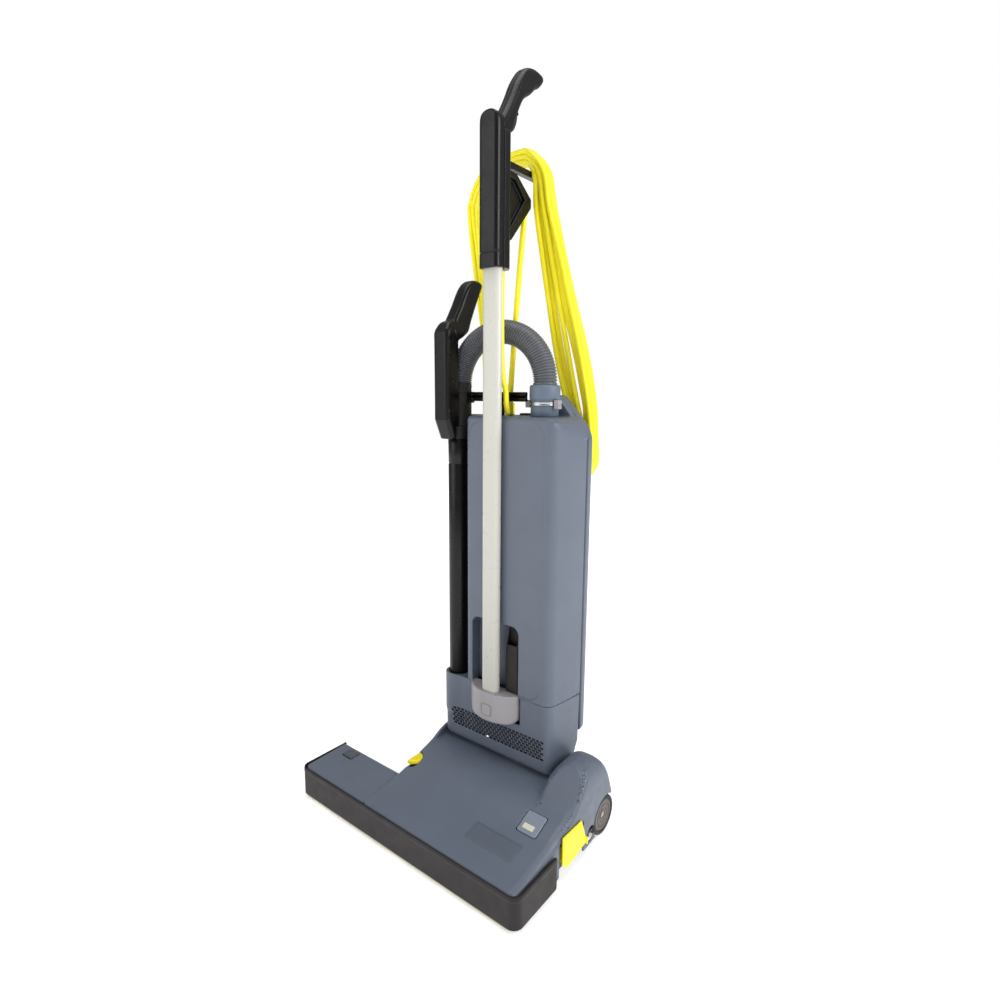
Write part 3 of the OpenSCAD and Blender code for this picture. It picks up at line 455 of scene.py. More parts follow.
DEEP = -40.0
RISE = ([(COVER_LO[1], DEEP), (COVER_LO[1], 50)] + arc(COVER_LO[1] + 8, 50, 8, 170, 100, 5)
        + flat_curve([(-228, 59.4), (-205, 62.2), (-176, 67), (-150, 72.8), (-124, 82.5), (-98, 89.6), (-70, 92),
                      (-36, 92)], 22) + [(-36, DEEP)])
WING = ([(COVER_LO[1], DEEP), (COVER_LO[1], 50)] + arc(COVER_LO[1] + 8, 50, 8, 170, 90, 5)
        + arc(-161, 52, 8, 85, 5, 5) + [(-153, DEEP)])
CHEEK = ([(-136, DEEP)] + flat_curve([(-136, 66), (-112, 80), (-88, 90), (-66, 102), (-41, 110), (-24, 103),
                                      (-8, 87), (8, 67), (22, 55), (HEAD_REAR - 2, 44)], 26)
         + [(HEAD_REAR, 36), (HEAD_REAR, DEEP)])
HUMP = ([(-150, DEEP)] + flat_curve([(-150, 60), (-124, 76), (-104, 86), (-82, 104), (-62, 123), (-46, 137),
                                     (-26, 143.8), (-8, 139), (4, 127), (12, 110), (22, 85),
                                     (HEAD_REAR - 1, 54)], 40)
        + [(HEAD_REAR, 44), (HEAD_REAR, DEEP)])
HUMP_ACROSS = ([(119, DEEP), (COVER_HI[0], DEEP), (COVER_HI[0], 84)]
               + flat_curve([(COVER_HI[0], 92), (186.4, 110), (180, 128), (167, 141), (151, 144.2), (138, 139),
                             (126, 125), (119.4, 112)], 26))
PEDAL_HOLE = arc(-123, -131, 17, -80, 80, 12) + [(-130, -114.3), (-130, -147.7)]


def prism(across, along, lo, hi, r):
    """An outline's field limited to lo..hi along the third axis, with an edge radius of r."""
    return round_and(across, between(along, lo, hi), r)


def head_form(x, y, z):
    """Outer form of the floor head's cover, open downwards."""
    rise = round_and(round_and(outline(y, z, RISE), -125 - x, 6), x - COVER_HI[0], 15)
    wing = prism(outline(y, z, WING), x, COVER_LO[0], -110, 5)
    cheek = prism(outline(y, z, CHEEK), x, -125, -119, 2.4)
    hump = round_and(outline(y, z, HUMP), outline(x, z, HUMP_ACROSS), 10)
    d = round_or(round_or(rise, hump, 7), wing, 3)
    d = round_or(d, cheek, 4)
    plan = soft_outline(x, y, [(COVER_LO[0], COVER_LO[1]), (COVER_HI[0], COVER_LO[1]), (COVER_HI[0], HEAD_REAR),
                               (COVER_LO[0], HEAD_REAR)], 13)
    return round_and(d, plan, 4)


def foot_cover(x, y, z):
    form = head_form(x, y, z)
    d = cut(round_and(form, COVER_LO[2] - z, 0.8), form + 3, 0.8)
    well = prism(np.hypot(y - AXLE_Y, z - AXLE_Z) - WHEEL_R - 3, x, 159, 220, 2)
    d = cut(d, well, 1.2)
    d = cut(d, soft_box(x, y, z, (176, -136, 0), (210, -68, 66), 2), 0.6)
    d = cut(d, prism(np.hypot(y + 44, z - 30) - 12, x, 170, 210, 1), 0.6)
    d = cut(d, prism(outline(x, y, PEDAL_HOLE), z, 70, 96, 1), 0.8)
    d = cut(d, soft_box(x, y, z, (119, -154, 55), (155, -118, 110), 3), 0.6)
    d = cut(d, soft_box(x, y, z, (-257.5, -182.5, 50), (-230.5, -161.5, 80), 2.5), 0.5)
    d = cut(d, soft_box(x, y, z, (100, -14, 50), (124.5, 60, 170), 1), 0.8)
    return d


moulded("floor_head_cover", foot_cover, COVER_LO, COVER_HI, 1.9, "foot", "slate_plastic", ["foot_cover"])


def bumper(x, y, z):
    """Rubber band around the front and both ends, with a bead along its top."""
    lo, hi = HEAD_LO, HEAD_HI
    far = hi[1] + 40
    outer = soft_outline(x, y, [(lo[0], lo[1]), (hi[0], lo[1]), (hi[0], far), (lo[0], far)], 15)
    inner = soft_outline(x, y, [(lo[0] + 3, lo[1] + 3), (hi[0] - 5, lo[1] + 3), (hi[0] - 5, far + 9),
                                (lo[0] + 3, far + 9)], 12)
    lean = 0.5 * np.clip((z - lo[2]) / (hi[2] - lo[2]), 0, 1)
    top = hi[2] - 4.5
    d = prism(outer + lean - 0.5 * np.exp(-((z - top + 5) / 2.6) ** 2), z, lo[2], top, 1.2)
    return cut(round_and(d, y - hi[1], 0.8), inner, 0.6)


moulded("bumper_band", bumper, HEAD_LO, HEAD_HI, 1.6, "foot", "bumper_rubber", ["bumper"])


LENS_LO, LENS_HI = corners("indicator_lens")


def indicator_lens(x, y, z):
    """Lens that follows the cover's surface inside a narrow gap."""
    side = soft_outline(x, y, [(LENS_LO[0], LENS_LO[1]), (LENS_HI[0], LENS_LO[1]), (LENS_HI[0], LENS_HI[1]),
                               (LENS_LO[0], LENS_HI[1])], 3)
    return round_and(round_and(side, head_form(x, y, z) - 0.4, 0.8), 62 - z, 0.5)


def indicator_sticker(x, y, z):
    """Blank pale patch on the lens."""
    side = soft_outline(x, y, [(126, -147), (145, -147), (145, -139), (126, -139)], 1.2)
    return np.maximum(round_and(side, head_form(x, y, z) - 0.9, 0.2), -head_form(x, y, z))


moulded("height_indicator", indicator_lens, LENS_LO, LENS_HI + [0, 0, 4], 0.9, "foot", "clear_lens",
        ["indicator_lens"])
moulded("height_indicator_patch", indicator_sticker, (125, -148, 66), (146, -138, 82), 0.4, "foot",
        "pale_plastic", ["indicator_lens"])

WINDOW_LO, WINDOW_HI = corners("inspection_window")


def window(x, y, z):
    side = soft_box(x, y, z, WINDOW_LO - [0, 0, 6], WINDOW_HI - [0, 0, 6.4], 2.2)
    pocket = soft_box(x, y, z, WINDOW_LO + [3, 3, 5.2 - 6.4], WINDOW_HI + [-3, -3, 2], 1.2)
    return cut(side, pocket, 0.4)


moulded("inspection_window_frame", window, WINDOW_LO - [0, 0, 7], WINDOW_HI, 0.8, "foot", "window_plastic",
        ["inspection_window"])

PLATE_LO, PLATE_HI = corners("name_plate")


def blank_plate(x, y, z):
    side = soft_outline(x, y, [(PLATE_LO[0], PLATE_LO[1]), (PLATE_HI[0], PLATE_LO[1]), (PLATE_HI[0], PLATE_HI[1]),
                               (PLATE_LO[0], PLATE_HI[1])], 4)
    surface = head_form(x, y, z)
    top = round_and(side, surface - 0.5, 0.4)
    raised = round_and(side + 3, surface - 0.9, 0.4)
    return np.maximum(np.minimum(top, raised), -1.5 - surface)


moulded("blank_badge", blank_plate, PLATE_LO - [0, 0, 6], PLATE_HI + [0, 0, 2], 0.8, "foot", "label_plate",
        ["name_plate"])


def latch_plate(x, y, z):
    shape = outline(y, z, [(-133, 77), (-79, 75), (-71, 55), (-62, 29), (-120, 20), (-134, 33)])
    d = prism(shape + 0.6, x, COVER_HI[0] + 0.4, COVER_HI[0] + 3.2, 1.1)
    rim = prism(np.abs(shape + 5) - 1.1, x, COVER_HI[0] + 2, COVER_HI[0] + 4, 0.7)
    tongue = soft_box(x, y, z, (COVER_HI[0] - 6, -128, 31), (COVER_HI[0] + 1, -84, 59), 1.5)
    barrel = round_and(np.hypot(x - COVER_HI[0] - 2.5, y + 63) - 2.4, between(z, 26, 37), 0.5)
    return round_or(np.minimum(round_or(d, rim, 1), tongue), barrel, 0.6)


moulded("brush_release_latch", latch_plate, *corners("brush_latch"), 0.9, "side_latch", "yellow_plastic",
        ["brush_latch"])


def latch_pocket(x, y, z):
    """Black walls behind the latch's opening and behind the wheel: painted shade standing in for the shadowed hollows
    there.
    """
    wall = soft_box(x, y, z, (176, -139, 14), (179, -35, 70), 1)
    wall = cut(wall, np.hypot(y + 44, z - 30) - 11.9, 0.3)
    well = cut(soft_box(x, y, z, (156, -60, 14), (159, 30, 66), 1), np.hypot(y - AXLE_Y, z - AXLE_Z) - 6, 0.3)
    return np.minimum(wall, np.maximum(well, head_form(x, y, z) + 1.5))


# black_plastic on these walls is painted shade for the recesses behind the latch and the wheel
moulded("latch_pocket_wall", latch_pocket, (156, -139, 14), (179, 30, 70), 1.2, "foot", "black_plastic",
        ["foot_cover"])


def pedal(x, y, z):
    disc = np.hypot((x + 123) * 0.92, y + 130) - 15.5
    d = prism(np.maximum(disc, -(x + 122.6)), z, 76.4, 83.4, 1.8)
    ribs = prism(np.maximum(disc + 3, -(x + 120)), z, 82.5, 84.4, 0.6)
    ribs = np.maximum(ribs, 1.0 - np.abs((x + 150) % 4 - 2) * 1.0)
    hub = prism(np.hypot(y + 118, z - 70) - 4.2, x, -121, -106, 0.8)
    web = soft_box(x, y, z, (-120.5, -121, 70), (-106.5, -115.5, 78), 1)
    return round_or(round_or(np.minimum(d, ribs), web, 1.5), hub, 1)


moulded("release_pedal_cap", pedal, *corners("release_pedal"), 0.8, "pedal", "yellow_plastic", ["release_pedal"])


def dial(x, y, z):
    r = np.hypot(y + 44, z - 30)
    angle = np.arctan2(z - 30, y + 44)
    disc = prism(r - 11.2 + 0.35 * np.cos(18 * angle), x, 172.4, 178.4, 1)
    bar = round_and(soft_box(x, y, z, (177, -54.8, 27), (184, -33.2, 33), 1.6), r - 11, 1)
    return round_or(disc, bar, 1)


moulded("height_dial_knob", dial, *corners("height_dial"), 0.7, "dial", "black_plastic", ["height_dial"])


def wheel(side, x_lo, body):
    """Rubber tyre with rounded shoulders and grooves, and a hub with rings and a cap."""
    w = WHEEL_R * 2 / 3
    rim = corners("hub_" + side)[1][2] - AXLE_Z
    face = [(rim, 0.6), (rim + 1.5, 0), (WHEEL_R - 3.4, 0), (WHEEL_R - 1.2, 0.9), (WHEEL_R - 0.2, 3)]
    tread = []
    for k in range(3):
        mid = 5.5 + 5.5 * k
        tread += [(WHEEL_R, mid - 1), (WHEEL_R - 0.8, mid - 0.5), (WHEEL_R - 0.8, mid + 0.5), (WHEEL_R, mid + 1)]
    profile = face + tread + [(r, w - a) for r, a in reversed(face)]
    centre = np.array([x_lo, AXLE_Y, AXLE_Z])
    new_piece("tyre_" + side + "_moulded", *turned(profile, centre, 0, 72), body, "tyre_rubber",
              ["tyre_" + side])
    outer = [(5.1, 1.2), (9, 1.0), (9.6, 2.2), (12, 2.6), (12.8, 1.4), (17.4, 1.2), (18, 2.6), (19.4, 2.6),
             (20, 1.2), (24.4, 1.0), (rim - 0.1, 2.0)]
    hub = outer + [(r, w - a) for r, a in reversed(outer)]
    new_piece("hub_" + side + "_moulded", *turned(hub, centre, 0, 64), body, "hub_plastic", ["hub_" + side])


wheel("left", corners("tyre_left")[0][0], "wheel_left")
wheel("right", corners("tyre_right")[0][0], "wheel_right")

BRUSH_LO, BRUSH_HI = corners("brush_bristles")
BRUSH_Y, BRUSH_Z = (BRUSH_LO[1] + BRUSH_HI[1]) / 2, middle("brush_core")[2]


def bristle_tufts():
    """Rows of tufts set in gentle spirals around the brush core."""
    rng = np.random.default_rng(4)
    verts, faces = [], []
    for row in range(6):
        for k in range(52):
            x = BRUSH_LO[0] + 4 + k * (BRUSH_HI[0] - BRUSH_LO[0] - 8) / 51
            turn = math.radians(60 * row + 55 * math.sin(math.pi * k / 51))
            for _ in range(5):
                a = turn + rng.normal(0, 0.05)
                dx, da = rng.normal(0, 0.7), rng.normal(0, 0.05)
                base = len(verts)
                for r, w in ((15.5, 0.9), (22, 0.8), (26.8, 0.45)):
                    lean = a + da * (r - 15.5) / 11
                    for s in range(4):
                        b = math.pi / 2 * s
                        verts.append((x + dx + w * math.cos(b), BRUSH_Y + r * math.sin(lean) + w * math.sin(b),
                                      BRUSH_Z + r * math.cos(lean)))
                for ring in (0, 4):
                    faces += [(base + ring + s, base + ring + (s + 1) % 4, base + ring + 4 + (s + 1) % 4,
                               base + ring + 4 + s) for s in range(4)]
                faces.append((base + 8, base + 9, base + 10, base + 11))
    return verts, faces


new_piece("bristle_tufts", *bristle_tufts(), "brush", "bristles", ["brush_bristles"])


# ---------------------------------------------------------------- body
CASING_PLAN = (arc(-HALF_W + 8, FRONT_Y + 14, 14, 183, 270, 8) + arc(HALF_W - 18, FRONT_Y + 18, 18, 270, 353, 8)
               + [(FLARE, DOOR_Y), (-FLARE, DOOR_Y)])
CASING_SIDE = (arc(FRONT_Y + 16, CASING_Z0 + 16, 16, 180, 270, 8)
               + [(4, CASING_Z0), (DOOR_Y - 3, 136), (DOOR_Y, SEAM_Z + 60), (FRONT_Y, SEAM_Z + 60)])
CASING_FACE = (arc(-FLARE + 22, CASING_Z0 + 22, 22, 180, 270, 8) + arc(FLARE - 22, CASING_Z0 + 22, 22, 270, 360, 8)
               + [(FLARE, SEAM_Z + 60), (-FLARE, SEAM_Z + 60)])
GRILLE_PITCH, GRILLE_ROW, GRILLE_Z = 196 / 24, 5.0, 130.5


def grille(x, y, z):
    """Seven staggered rows of slots with rounded corners."""
    row = np.round((z - GRILLE_Z) / GRILLE_ROW)
    stagger = 0.5 * (row % 2)
    u = (x + 99) / GRILLE_PITCH - 0.5 - stagger
    u = (u - np.clip(np.round(u), 0, 23)) * GRILLE_PITCH
    v = z - GRILLE_Z - np.clip(row, -1, 5) * GRILLE_ROW
    hole = round_and(np.abs(u) - 2.8, np.abs(v) - 1.8, 0.8)
    return np.maximum(hole, y - FRONT_Y - 6)


def lower_casing(x, y, z):
    form = round_and(round_and(outline(x, y, CASING_PLAN), outline(y, z, CASING_SIDE), 5),
                     outline(x, z, CASING_FACE), 5)
    boss = prism(np.hypot(x - WAND_X, y - WAND_Y) - 21.5, z, CASING_Z0 + 50, SEAM_Z + 60, 6)
    form = np.maximum(round_or(form, boss, 8), between(y, -200, DOOR_Y - 0.2))
    room = form + 3
    deck = np.maximum(np.maximum(x - CHANNEL_X, y - CHANNEL_Y), SEAM_Z - 3 - z)
    dock = np.maximum(np.hypot(x - WAND_X - 1, y - WAND_Y) - 24, 185 - z)
    room = np.maximum(room, -np.minimum(deck, dock))
    d = cut(round_and(form, z - SEAM_Z, 1.3), room, 0.8)
    side = np.abs(x)
    ear = [(PIVOT_Y - 17, CASING_Z0 + 6)] + arc(PIVOT_Y, PIVOT_Z, 13, 190, 350, 12) + [(PIVOT_Y + 15, 112)]
    d = round_or(d, prism(outline(y, z, ear), side, 88, 112, 1), 1.5)
    arm = [(18, 126), (18, 134)] + arc(HINGE_Y, HINGE_Z, 4.5, 160, -70, 8)
    d = np.minimum(d, prism(outline(y, z, arm), side, 82, 96, 0.6))
    d = cut(d, np.maximum(np.hypot(y - PIVOT_Y, z - PIVOT_Z) - 6.05, between(side, 80, 120)), 0.3)
    d = np.maximum(d, 2.5 - np.maximum(np.hypot(y - HINGE_Y, z - HINGE_Z), 5 * (side < 78)))
    d = cut(d, soft_box(x, y, z, (-52, -90, 170.5), (52, -44, SEAM_Z + 20), 1), 0.5)
    d = cut(d, np.maximum(np.hypot(x - WAND_X, y - WAND_Y) - 19.2, 150 - z), 0.6)
    d = cut(d, soft_box(x, y, z, (-48, PIVOT_Y - 36, 80), (48, PIVOT_Y + 40, 118), 2), 0.5)
    return np.maximum(d, -grille(x, y, z))


moulded("lower_casing_shell", lower_casing, CASING_LO, CASING_HI, 1.25, "body", "slate_plastic", ["lower_casing"])

DOCK = [(12.5, 188), (19, 188), (19, SEAM_Z - 0.6), (18.6, SEAM_Z), (17.7, SEAM_Z), (17.7, 191), (12.5, 191)]
new_piece("wand_dock_ring", *turned(DOCK, np.array([WAND_X, WAND_Y, 0]), 2, 64), "body", "black_plastic",
          ["wand_dock"])

HOUSING_PLAN = ([(-FLARE, DOOR_Y), (-FLARE, CHANNEL_Y)]
                + arc(CHANNEL_X - 5, CHANNEL_Y - 5, 5, 90, 0, 4)
                + arc(CHANNEL_X + 6, FRONT_Y + 6, 6, 180, 270, 6)
                + arc(HALF_W - 18, FRONT_Y + 18, 18, 270, 353, 8) + [(FLARE, DOOR_Y)])
HOUSING_FACE = ([(-FLARE, SEAM_Z - 60)] + [(FLARE, SEAM_Z - 60)]
                + arc(FLARE - 32, BODY_TOP - 32, 32, 0, 90, 8) + arc(-FLARE + 14, BODY_TOP - 14, 14, 90, 180, 6))
PORT = [(45, BODY_TOP - 8), (52, 700)] + arc(62, 706, 10, 150, 50, 4) + [(105, 671), (120, 648), (100, 640)]


def front_housing(x, y, z):
    form = round_and(outline(x, y, HOUSING_PLAN), outline(x, z, HOUSING_FACE), 8)
    form = np.maximum(form, y - DOOR_Y)
    panel = prism(soft_outline(x, z, [(CHANNEL_X + 7, SEAM_Z + 5), (HALF_W - 20, SEAM_Z + 5),
                                      (HALF_W - 20, BODY_TOP - 9), (CHANNEL_X + 7, BODY_TOP - 9)], 24),
                  y, FRONT_Y - 0.9, FRONT_Y + 4, 0.9)
    form = round_or(form, panel, 1.5)
    niche = soft_outline(x, z, [(-49, SEAM_Z - 60), (49, SEAM_Z - 60), (49, 340), (-49, 340)], 14)
    niche = np.maximum(niche, y + 36)
    walled = np.maximum(form + 3, -np.maximum(niche - 3, y + 33))
    d = cut(round_and(form, SEAM_Z + 0.2 - z, 1.3), np.maximum(walled, SEAM_Z + 3 - z), 0.8)
    d = round_or(d, prism(outline(x, z, PORT), y, 12, DOOR_Y, 1.2), 3)
    d = cut(d, niche, 1.6)
    d = cut(d, np.hypot(x - CUFF_X, y - CUFF_Y) - np.where(z > BODY_TOP, 22.8, 18) + 50 * (z < BODY_TOP - 12), 0.4)
    return cut(d, np.hypot(x + 1, y + 17.5) - 7 + 50 * (z < BODY_TOP - 12), 0.8)


moulded("front_housing_shell", front_housing, HOUSING_LO, HOUSING_HI, 1.9, "body", "slate_plastic",
        ["front_housing"])

DOOR_BACK = 48.0
DOOR_PLAN = ([(FLARE, DOOR_Y + 0.6)] + arc(FLARE - 18, DOOR_BACK - 18, 18, 0, 90, 8)
             + arc(-FLARE + 18, DOOR_BACK - 18, 18, 90, 180, 8) + [(-FLARE, DOOR_Y + 0.6)])
DOOR_FACE = (arc(-FLARE + 14, 160, 14, 180, 270, 6) + arc(FLARE - 14, 160, 14, 270, 360, 6)
             + [(FLARE, 646), (105, 671), (68, 712)] + arc(60, 704, 10, 50, 150, 4)
             + [(46, BODY_TOP)] + arc(-FLARE + 26, BODY_TOP - 26, 26, 90, 180, 8))


def bag_door(x, y, z):
    form = round_and(outline(x, y, DOOR_PLAN), outline(x, z, DOOR_FACE), 6)
    panel = prism(soft_outline(x, z, [(-92, 190), (92, 190), (92, 640), (-92, 640)], 18), y, 40, DOOR_BACK + 0.8, 0.8)
    rim = np.maximum(form, DOOR_Y + 0.5 - y)
    d = cut(round_or(rim, panel, 1.5), np.maximum(form + 3, y - DOOR_BACK + 3), 0.8)
    lug = arc(HINGE_Y, HINGE_Z, 4.5, 180, 360, 8) + [(40.5, 148), (31.5, 148)]
    side = np.abs(x)
    d = np.minimum(d, prism(outline(y, z, lug), side, 66, 81.5, 0.6))
    hook = [(DOOR_BACK - 1, 640), (80, 622), (DOOR_HI[1], 606), (DOOR_HI[1], 566), (100, 566), (100, 591),
            (80, 600), (DOOR_BACK - 1, 600)]
    d = round_or(d, prism(outline(y, z, hook), x, -14, 14, 2.2), 4)
    away = np.hypot(x - (PLUG_LO[0] + PLUG_HI[0]) / 2, y - (PLUG_LO[1] + PLUG_HI[1]) / 2)
    clip = prism(np.abs(away - 18.6) - 1.5, z, 632, 642, 0.8)
    clip = np.maximum(clip, -np.maximum(np.abs(x - (PLUG_LO[0] + PLUG_HI[0]) / 2) - 12,
                                        (PLUG_LO[1] + PLUG_HI[1]) / 2 + 8 - y))
    d = round_or(d, clip, 1)
    d = cut(d, np.maximum(np.hypot(y - HINGE_Y, z - HINGE_Z) - 2.55, side - 90), 0.3)
    return cut(d, soft_box(x, y, z, (-16, 15, BODY_TOP - 12), (16, 41, BODY_TOP + 20), 1), 0.5)


moulded("bag_door_shell", bag_door, DOOR_LO, DOOR_HI, 1.9, "bag_door", "slate_plastic", ["rear_cover"])


def door_catch(x, y, z):
    tongue = soft_box(x, y, z, (-15.5, 27, BODY_TOP - 11), (15.5, 34, BODY_TOP + 1.5), 1)
    thumb = soft_box(x, y, z, (-15.5, 27, BODY_TOP + 0.2), (15.5, 44, BODY_TOP + 3), 1)
    ridges = 0.35 * np.cos(2 * math.pi * y / 3) * (z > BODY_TOP + 2.2)
    return np.minimum(tongue, thumb + ridges)


moulded("door_catch", door_catch, *corners("door_latch"), 0.7, "latch", "black_plastic", ["door_latch"])

SOCKET_LO, SOCKET_HI = corners("handle_socket")


def stadium(x, y, w, d):
    """Oval outline of the handle tube."""
    return np.hypot(np.maximum(np.abs(x) - (w - d) / 2, 0), y - TUBE_Y) - d / 2


def handle_socket(x, y, z):
    front = [(-51.5, -45)] + arc(0, -11.5, 68.5, 223, 317, 16) + [(51.5, -45)]
    face = soft_outline(x, z, [(SOCKET_LO[0], SOCKET_LO[2]), (SOCKET_HI[0], SOCKET_LO[2]),
                               (SOCKET_HI[0], SOCKET_LO[2] + 80), (SOCKET_LO[0], SOCKET_LO[2] + 80)], 16)
    d = round_and(outline(x, y, front), face, 4)
    d = round_and(d, z - SOCKET_HI[2], 1.6)
    d = cut(d, np.maximum(stadium(x, y, 33.2, 16.2), TUBE_LO[2] - z), 0.8)
    badge = prism(np.abs(soft_outline(x, z, [(-10, 182), (10, 182), (10, 202), (-10, 202)], 4)) - 0.9,
                  y, -100, -70.0, 0.3)
    return cut(d, np.maximum(badge, y + 78.2), 0.3)


moulded("handle_socket_moulding", handle_socket, SOCKET_LO, SOCKET_HI, 1.0, "body", "socket_plastic",
        ["handle_socket"])


def tube_mesh():
    """Oval tube as a swept outline, open at both ends."""
    angles = np.linspace(0, 2 * math.pi, 56, endpoint=False)
    c, s = np.cos(angles), np.sin(angles)
    rings = []
    for z, grow in ((TUBE_LO[2], -0.4), (TUBE_LO[2] + 0.5, 0), (TUBE_HI[2] - 0.5, 0), (TUBE_HI[2], -0.4),
                    (TUBE_HI[2], -1.5), (TUBE_LO[2], -1.5)):
        r = 8 + grow
        rings.append(np.stack([np.sign(c) * 8.5 + r * c, TUBE_Y + r * s, np.full_like(c, z)], axis=1))
    n = len(angles)
    faces = []
    for k in range(len(rings)):
        a, b = k * n, (k + 1) % len(rings) * n
        faces += [(a + i, a + (i + 1) % n, b + (i + 1) % n, b + i) for i in range(n)]
    return np.vstack(rings), faces


tube = new_piece("handle_tube_oval", *tube_mesh(), "body", "tube_paint", ["handle_tube"])
tube.data.shade_auto_smooth() if hasattr(tube.data, "shade_auto_smooth") else None


# ---------------------------------------------------------------- handle
STEM_MID, STEM_BACK = STEM_HI[1], corners("stem_rear")[1][1]
SWITCH_Y, SWITCH_Z = -23.5, 1125.0
HOOK_Z = HOOK_LO[2] + 5
STEM_TOP = GRIP_LO[2]


def stem_field(x, y, z, corner):
    return round_and(np.abs(x) - STEM_HI[0], between(y, STEM_LO[1], STEM_BACK), corner)


def stem_room(x, y, z):
    upper = np.maximum(soft_box(x, y, z, (-16.5, -76, 900), (16.5, -50, 1084), 3), TUBE_HI[2] - z)
    return np.minimum(np.maximum(stadium(x, y, 33.1, 16.1), z - TUBE_HI[2]), upper)


def stem_front(x, y, z):
    """Front half, arched at the top, with a shallow groove near its foot."""
    arch = soft_outline(x, z, [(-STEM_HI[0], STEM_LO[2] - 60), (STEM_HI[0], STEM_LO[2] - 60),
                               (STEM_HI[0], STEM_HI[2]), (-STEM_HI[0], STEM_HI[2])], 18.5)
    form = round_and(round_and(stem_field(x, y, z, 9), arch, 3), STEM_LO[2] - z, 1.2)
    d = cut(form, stem_room(x, y, z), 0.4)
    collar = np.exp(-((z - 922) / 1.1) ** 2) * 0.8
    return round_and(d + collar, y - STEM_MID + 0.15, 0.5)


def stem_rear(x, y, z):
    form = round_and(stem_field(x, y, z, 6.5), between(z, STEM_LO[2], STEM_TOP), 1.2)
    d = cut(form, stem_room(x, y, z), 0.4)
    clip = soft_box(x, y, z, (0, STEM_BACK - 2, 898.5), (12, STEM_BACK + 5, 909), 1.5)
    d = round_or(round_and(d, STEM_MID + 0.15 - y, 0.5), np.maximum(clip, STEM_LO[2] - z), 1)
    return cut(d, np.maximum(np.hypot(x, z - HOOK_Z) - 5.05, STEM_BACK - 6 - y), 0.3)


moulded("stem_front_half", stem_front, STEM_LO, STEM_HI, 1.2, "body", "black_plastic", ["stem_front"])
moulded("stem_rear_half", stem_rear, (STEM_LO[0], STEM_MID, STEM_LO[2]), (STEM_HI[0], STEM_BACK + 5, STEM_TOP),
        1.2, "body", "black_plastic", ["stem_rear"])

GRIP = ([(STEM_MID + 0.2, STEM_TOP)]
        + flat_curve([(STEM_MID + 0.2, 1104), (-47, 1125), (-33, 1148), (-22, 1169), (-10, 1186), (1, 1197),
                      (17, 1202.5), (30, 1203)], 24)
        + flat_curve([(36, 1202.2), (43, 1200), (46, 1192), (36, 1181), (27, 1176), (15, 1165), (-3, 1152),
                      (-14, 1136), (-25, 1113), (-31, 1098), (-42, 1091)], 30) + [(-43, STEM_TOP)])


def grip_form(x, y, z):
    return round_and(outline(y, z, GRIP), np.abs(x) - GRIP_HI[0], 9)


def grip_half(side):
    def field(x, y, z):
        form = np.maximum(grip_form(x, y, z), STEM_TOP + 0.1 - z)
        d = cut(form, form + 4, 0.5)
        d = np.minimum(d, np.maximum(np.maximum(np.hypot(y - SWITCH_Y, z - SWITCH_Z) - 3, np.abs(x) - 11),
                                     7.3 - np.abs(x)))
        slot = prism(outline(y, z, [(-38, 1094), (-20, 1090), (-6, 1131), (-30, 1137)]), x, -7.4, 7.4, 1)
        return round_and(cut(d, slot, 0.5), 0.12 - x * side, 0.6)
    return field


moulded("grip_right_shell", grip_half(1), (0, GRIP_LO[1], GRIP_LO[2]), GRIP_HI, 1.2, "body", "grip_plastic",
        ["grip_shells"])
moulded("grip_left_shell", grip_half(-1), GRIP_LO, (0, GRIP_HI[1], GRIP_HI[2]), 1.2, "body", "grip_plastic",
        ["grip_shells"])
new_piece("switch_pin", *turned([(0.2, -7.4), (1.45, -7.4), (1.45, 7.1), (0.2, 7.1)],
                                np.array([0, SWITCH_Y, SWITCH_Z]), 0, 24), "body", "bare_steel", ["grip_shells"])


def trigger(x, y, z):
    shape = flat_curve([(-33, 1104), (-27, 1101), (-20, 1112), (-17, 1125), (-21, 1131), (-28, 1128)], 20)
    d = prism(outline(y, z, shape), x, -7, 7, 2)
    return cut(d, np.hypot(y - SWITCH_Y, z - SWITCH_Z) - 1.5 + 0 * x, 0.2)


moulded("power_trigger", trigger, *corners("power_switch"), 0.8, "switch", "bumper_rubber", ["power_switch"])


def cable_hook(x, y, z):
    bend = [(STEM_BACK + 6, HOOK_Z - 5), (43, HOOK_Z - 5)] + arc(45, HOOK_Z, 5, 270, 360, 5) \
        + [(50, HOOK_HI[2]), (44, HOOK_HI[2]), (44, HOOK_Z + 5), (STEM_BACK + 6, HOOK_Z + 5)]
    arm = prism(outline(y, z, bend), x, HOOK_LO[0], HOOK_HI[0], 1.8)
    lip = soft_box(x, y, z, (HOOK_LO[0], 44, HOOK_HI[2] - 4), (HOOK_HI[0], 50, HOOK_HI[2]), 1.5)
    shaft = round_and(np.hypot(x, z - HOOK_Z) - 5, between(y, STEM_BACK - 3.9, STEM_BACK + 8), 0.5)
    return round_or(np.minimum(arm, lip), shaft, 1)


moulded("turning_cord_hook", cable_hook, HOOK_LO, HOOK_HI, 1.0, "cable_hook", "black_plastic", ["upper_hook"])


def bracket(x, y, z):
    outer = [(STEM_BACK + 0.1, 1046), (-18, 1044), (20, 1016), (20, 1003), (-30, 947), (STEM_BACK + 0.1, 940)]
    inner = [(STEM_BACK + 6, 1036), (-20, 1034), (4, 1012), (-32, 966), (STEM_BACK + 6, 960)]
    d = prism(cut(outline(y, z, outer), outline(y, z, inner), 1.5), x, -8, 8, 1.6)
    web = np.maximum(outline(y, z, inner) - 1, np.abs(x) - 1.2)
    d = round_or(d, web, 1.5)
    return cut(d, np.hypot(x, y - 12) - 4.7 + 50 * (z < 975), 0.5)


moulded("cord_bracket_moulding", bracket, *corners("cord_bracket"), 1.0, "body", "black_plastic",
        ["cord_bracket"])


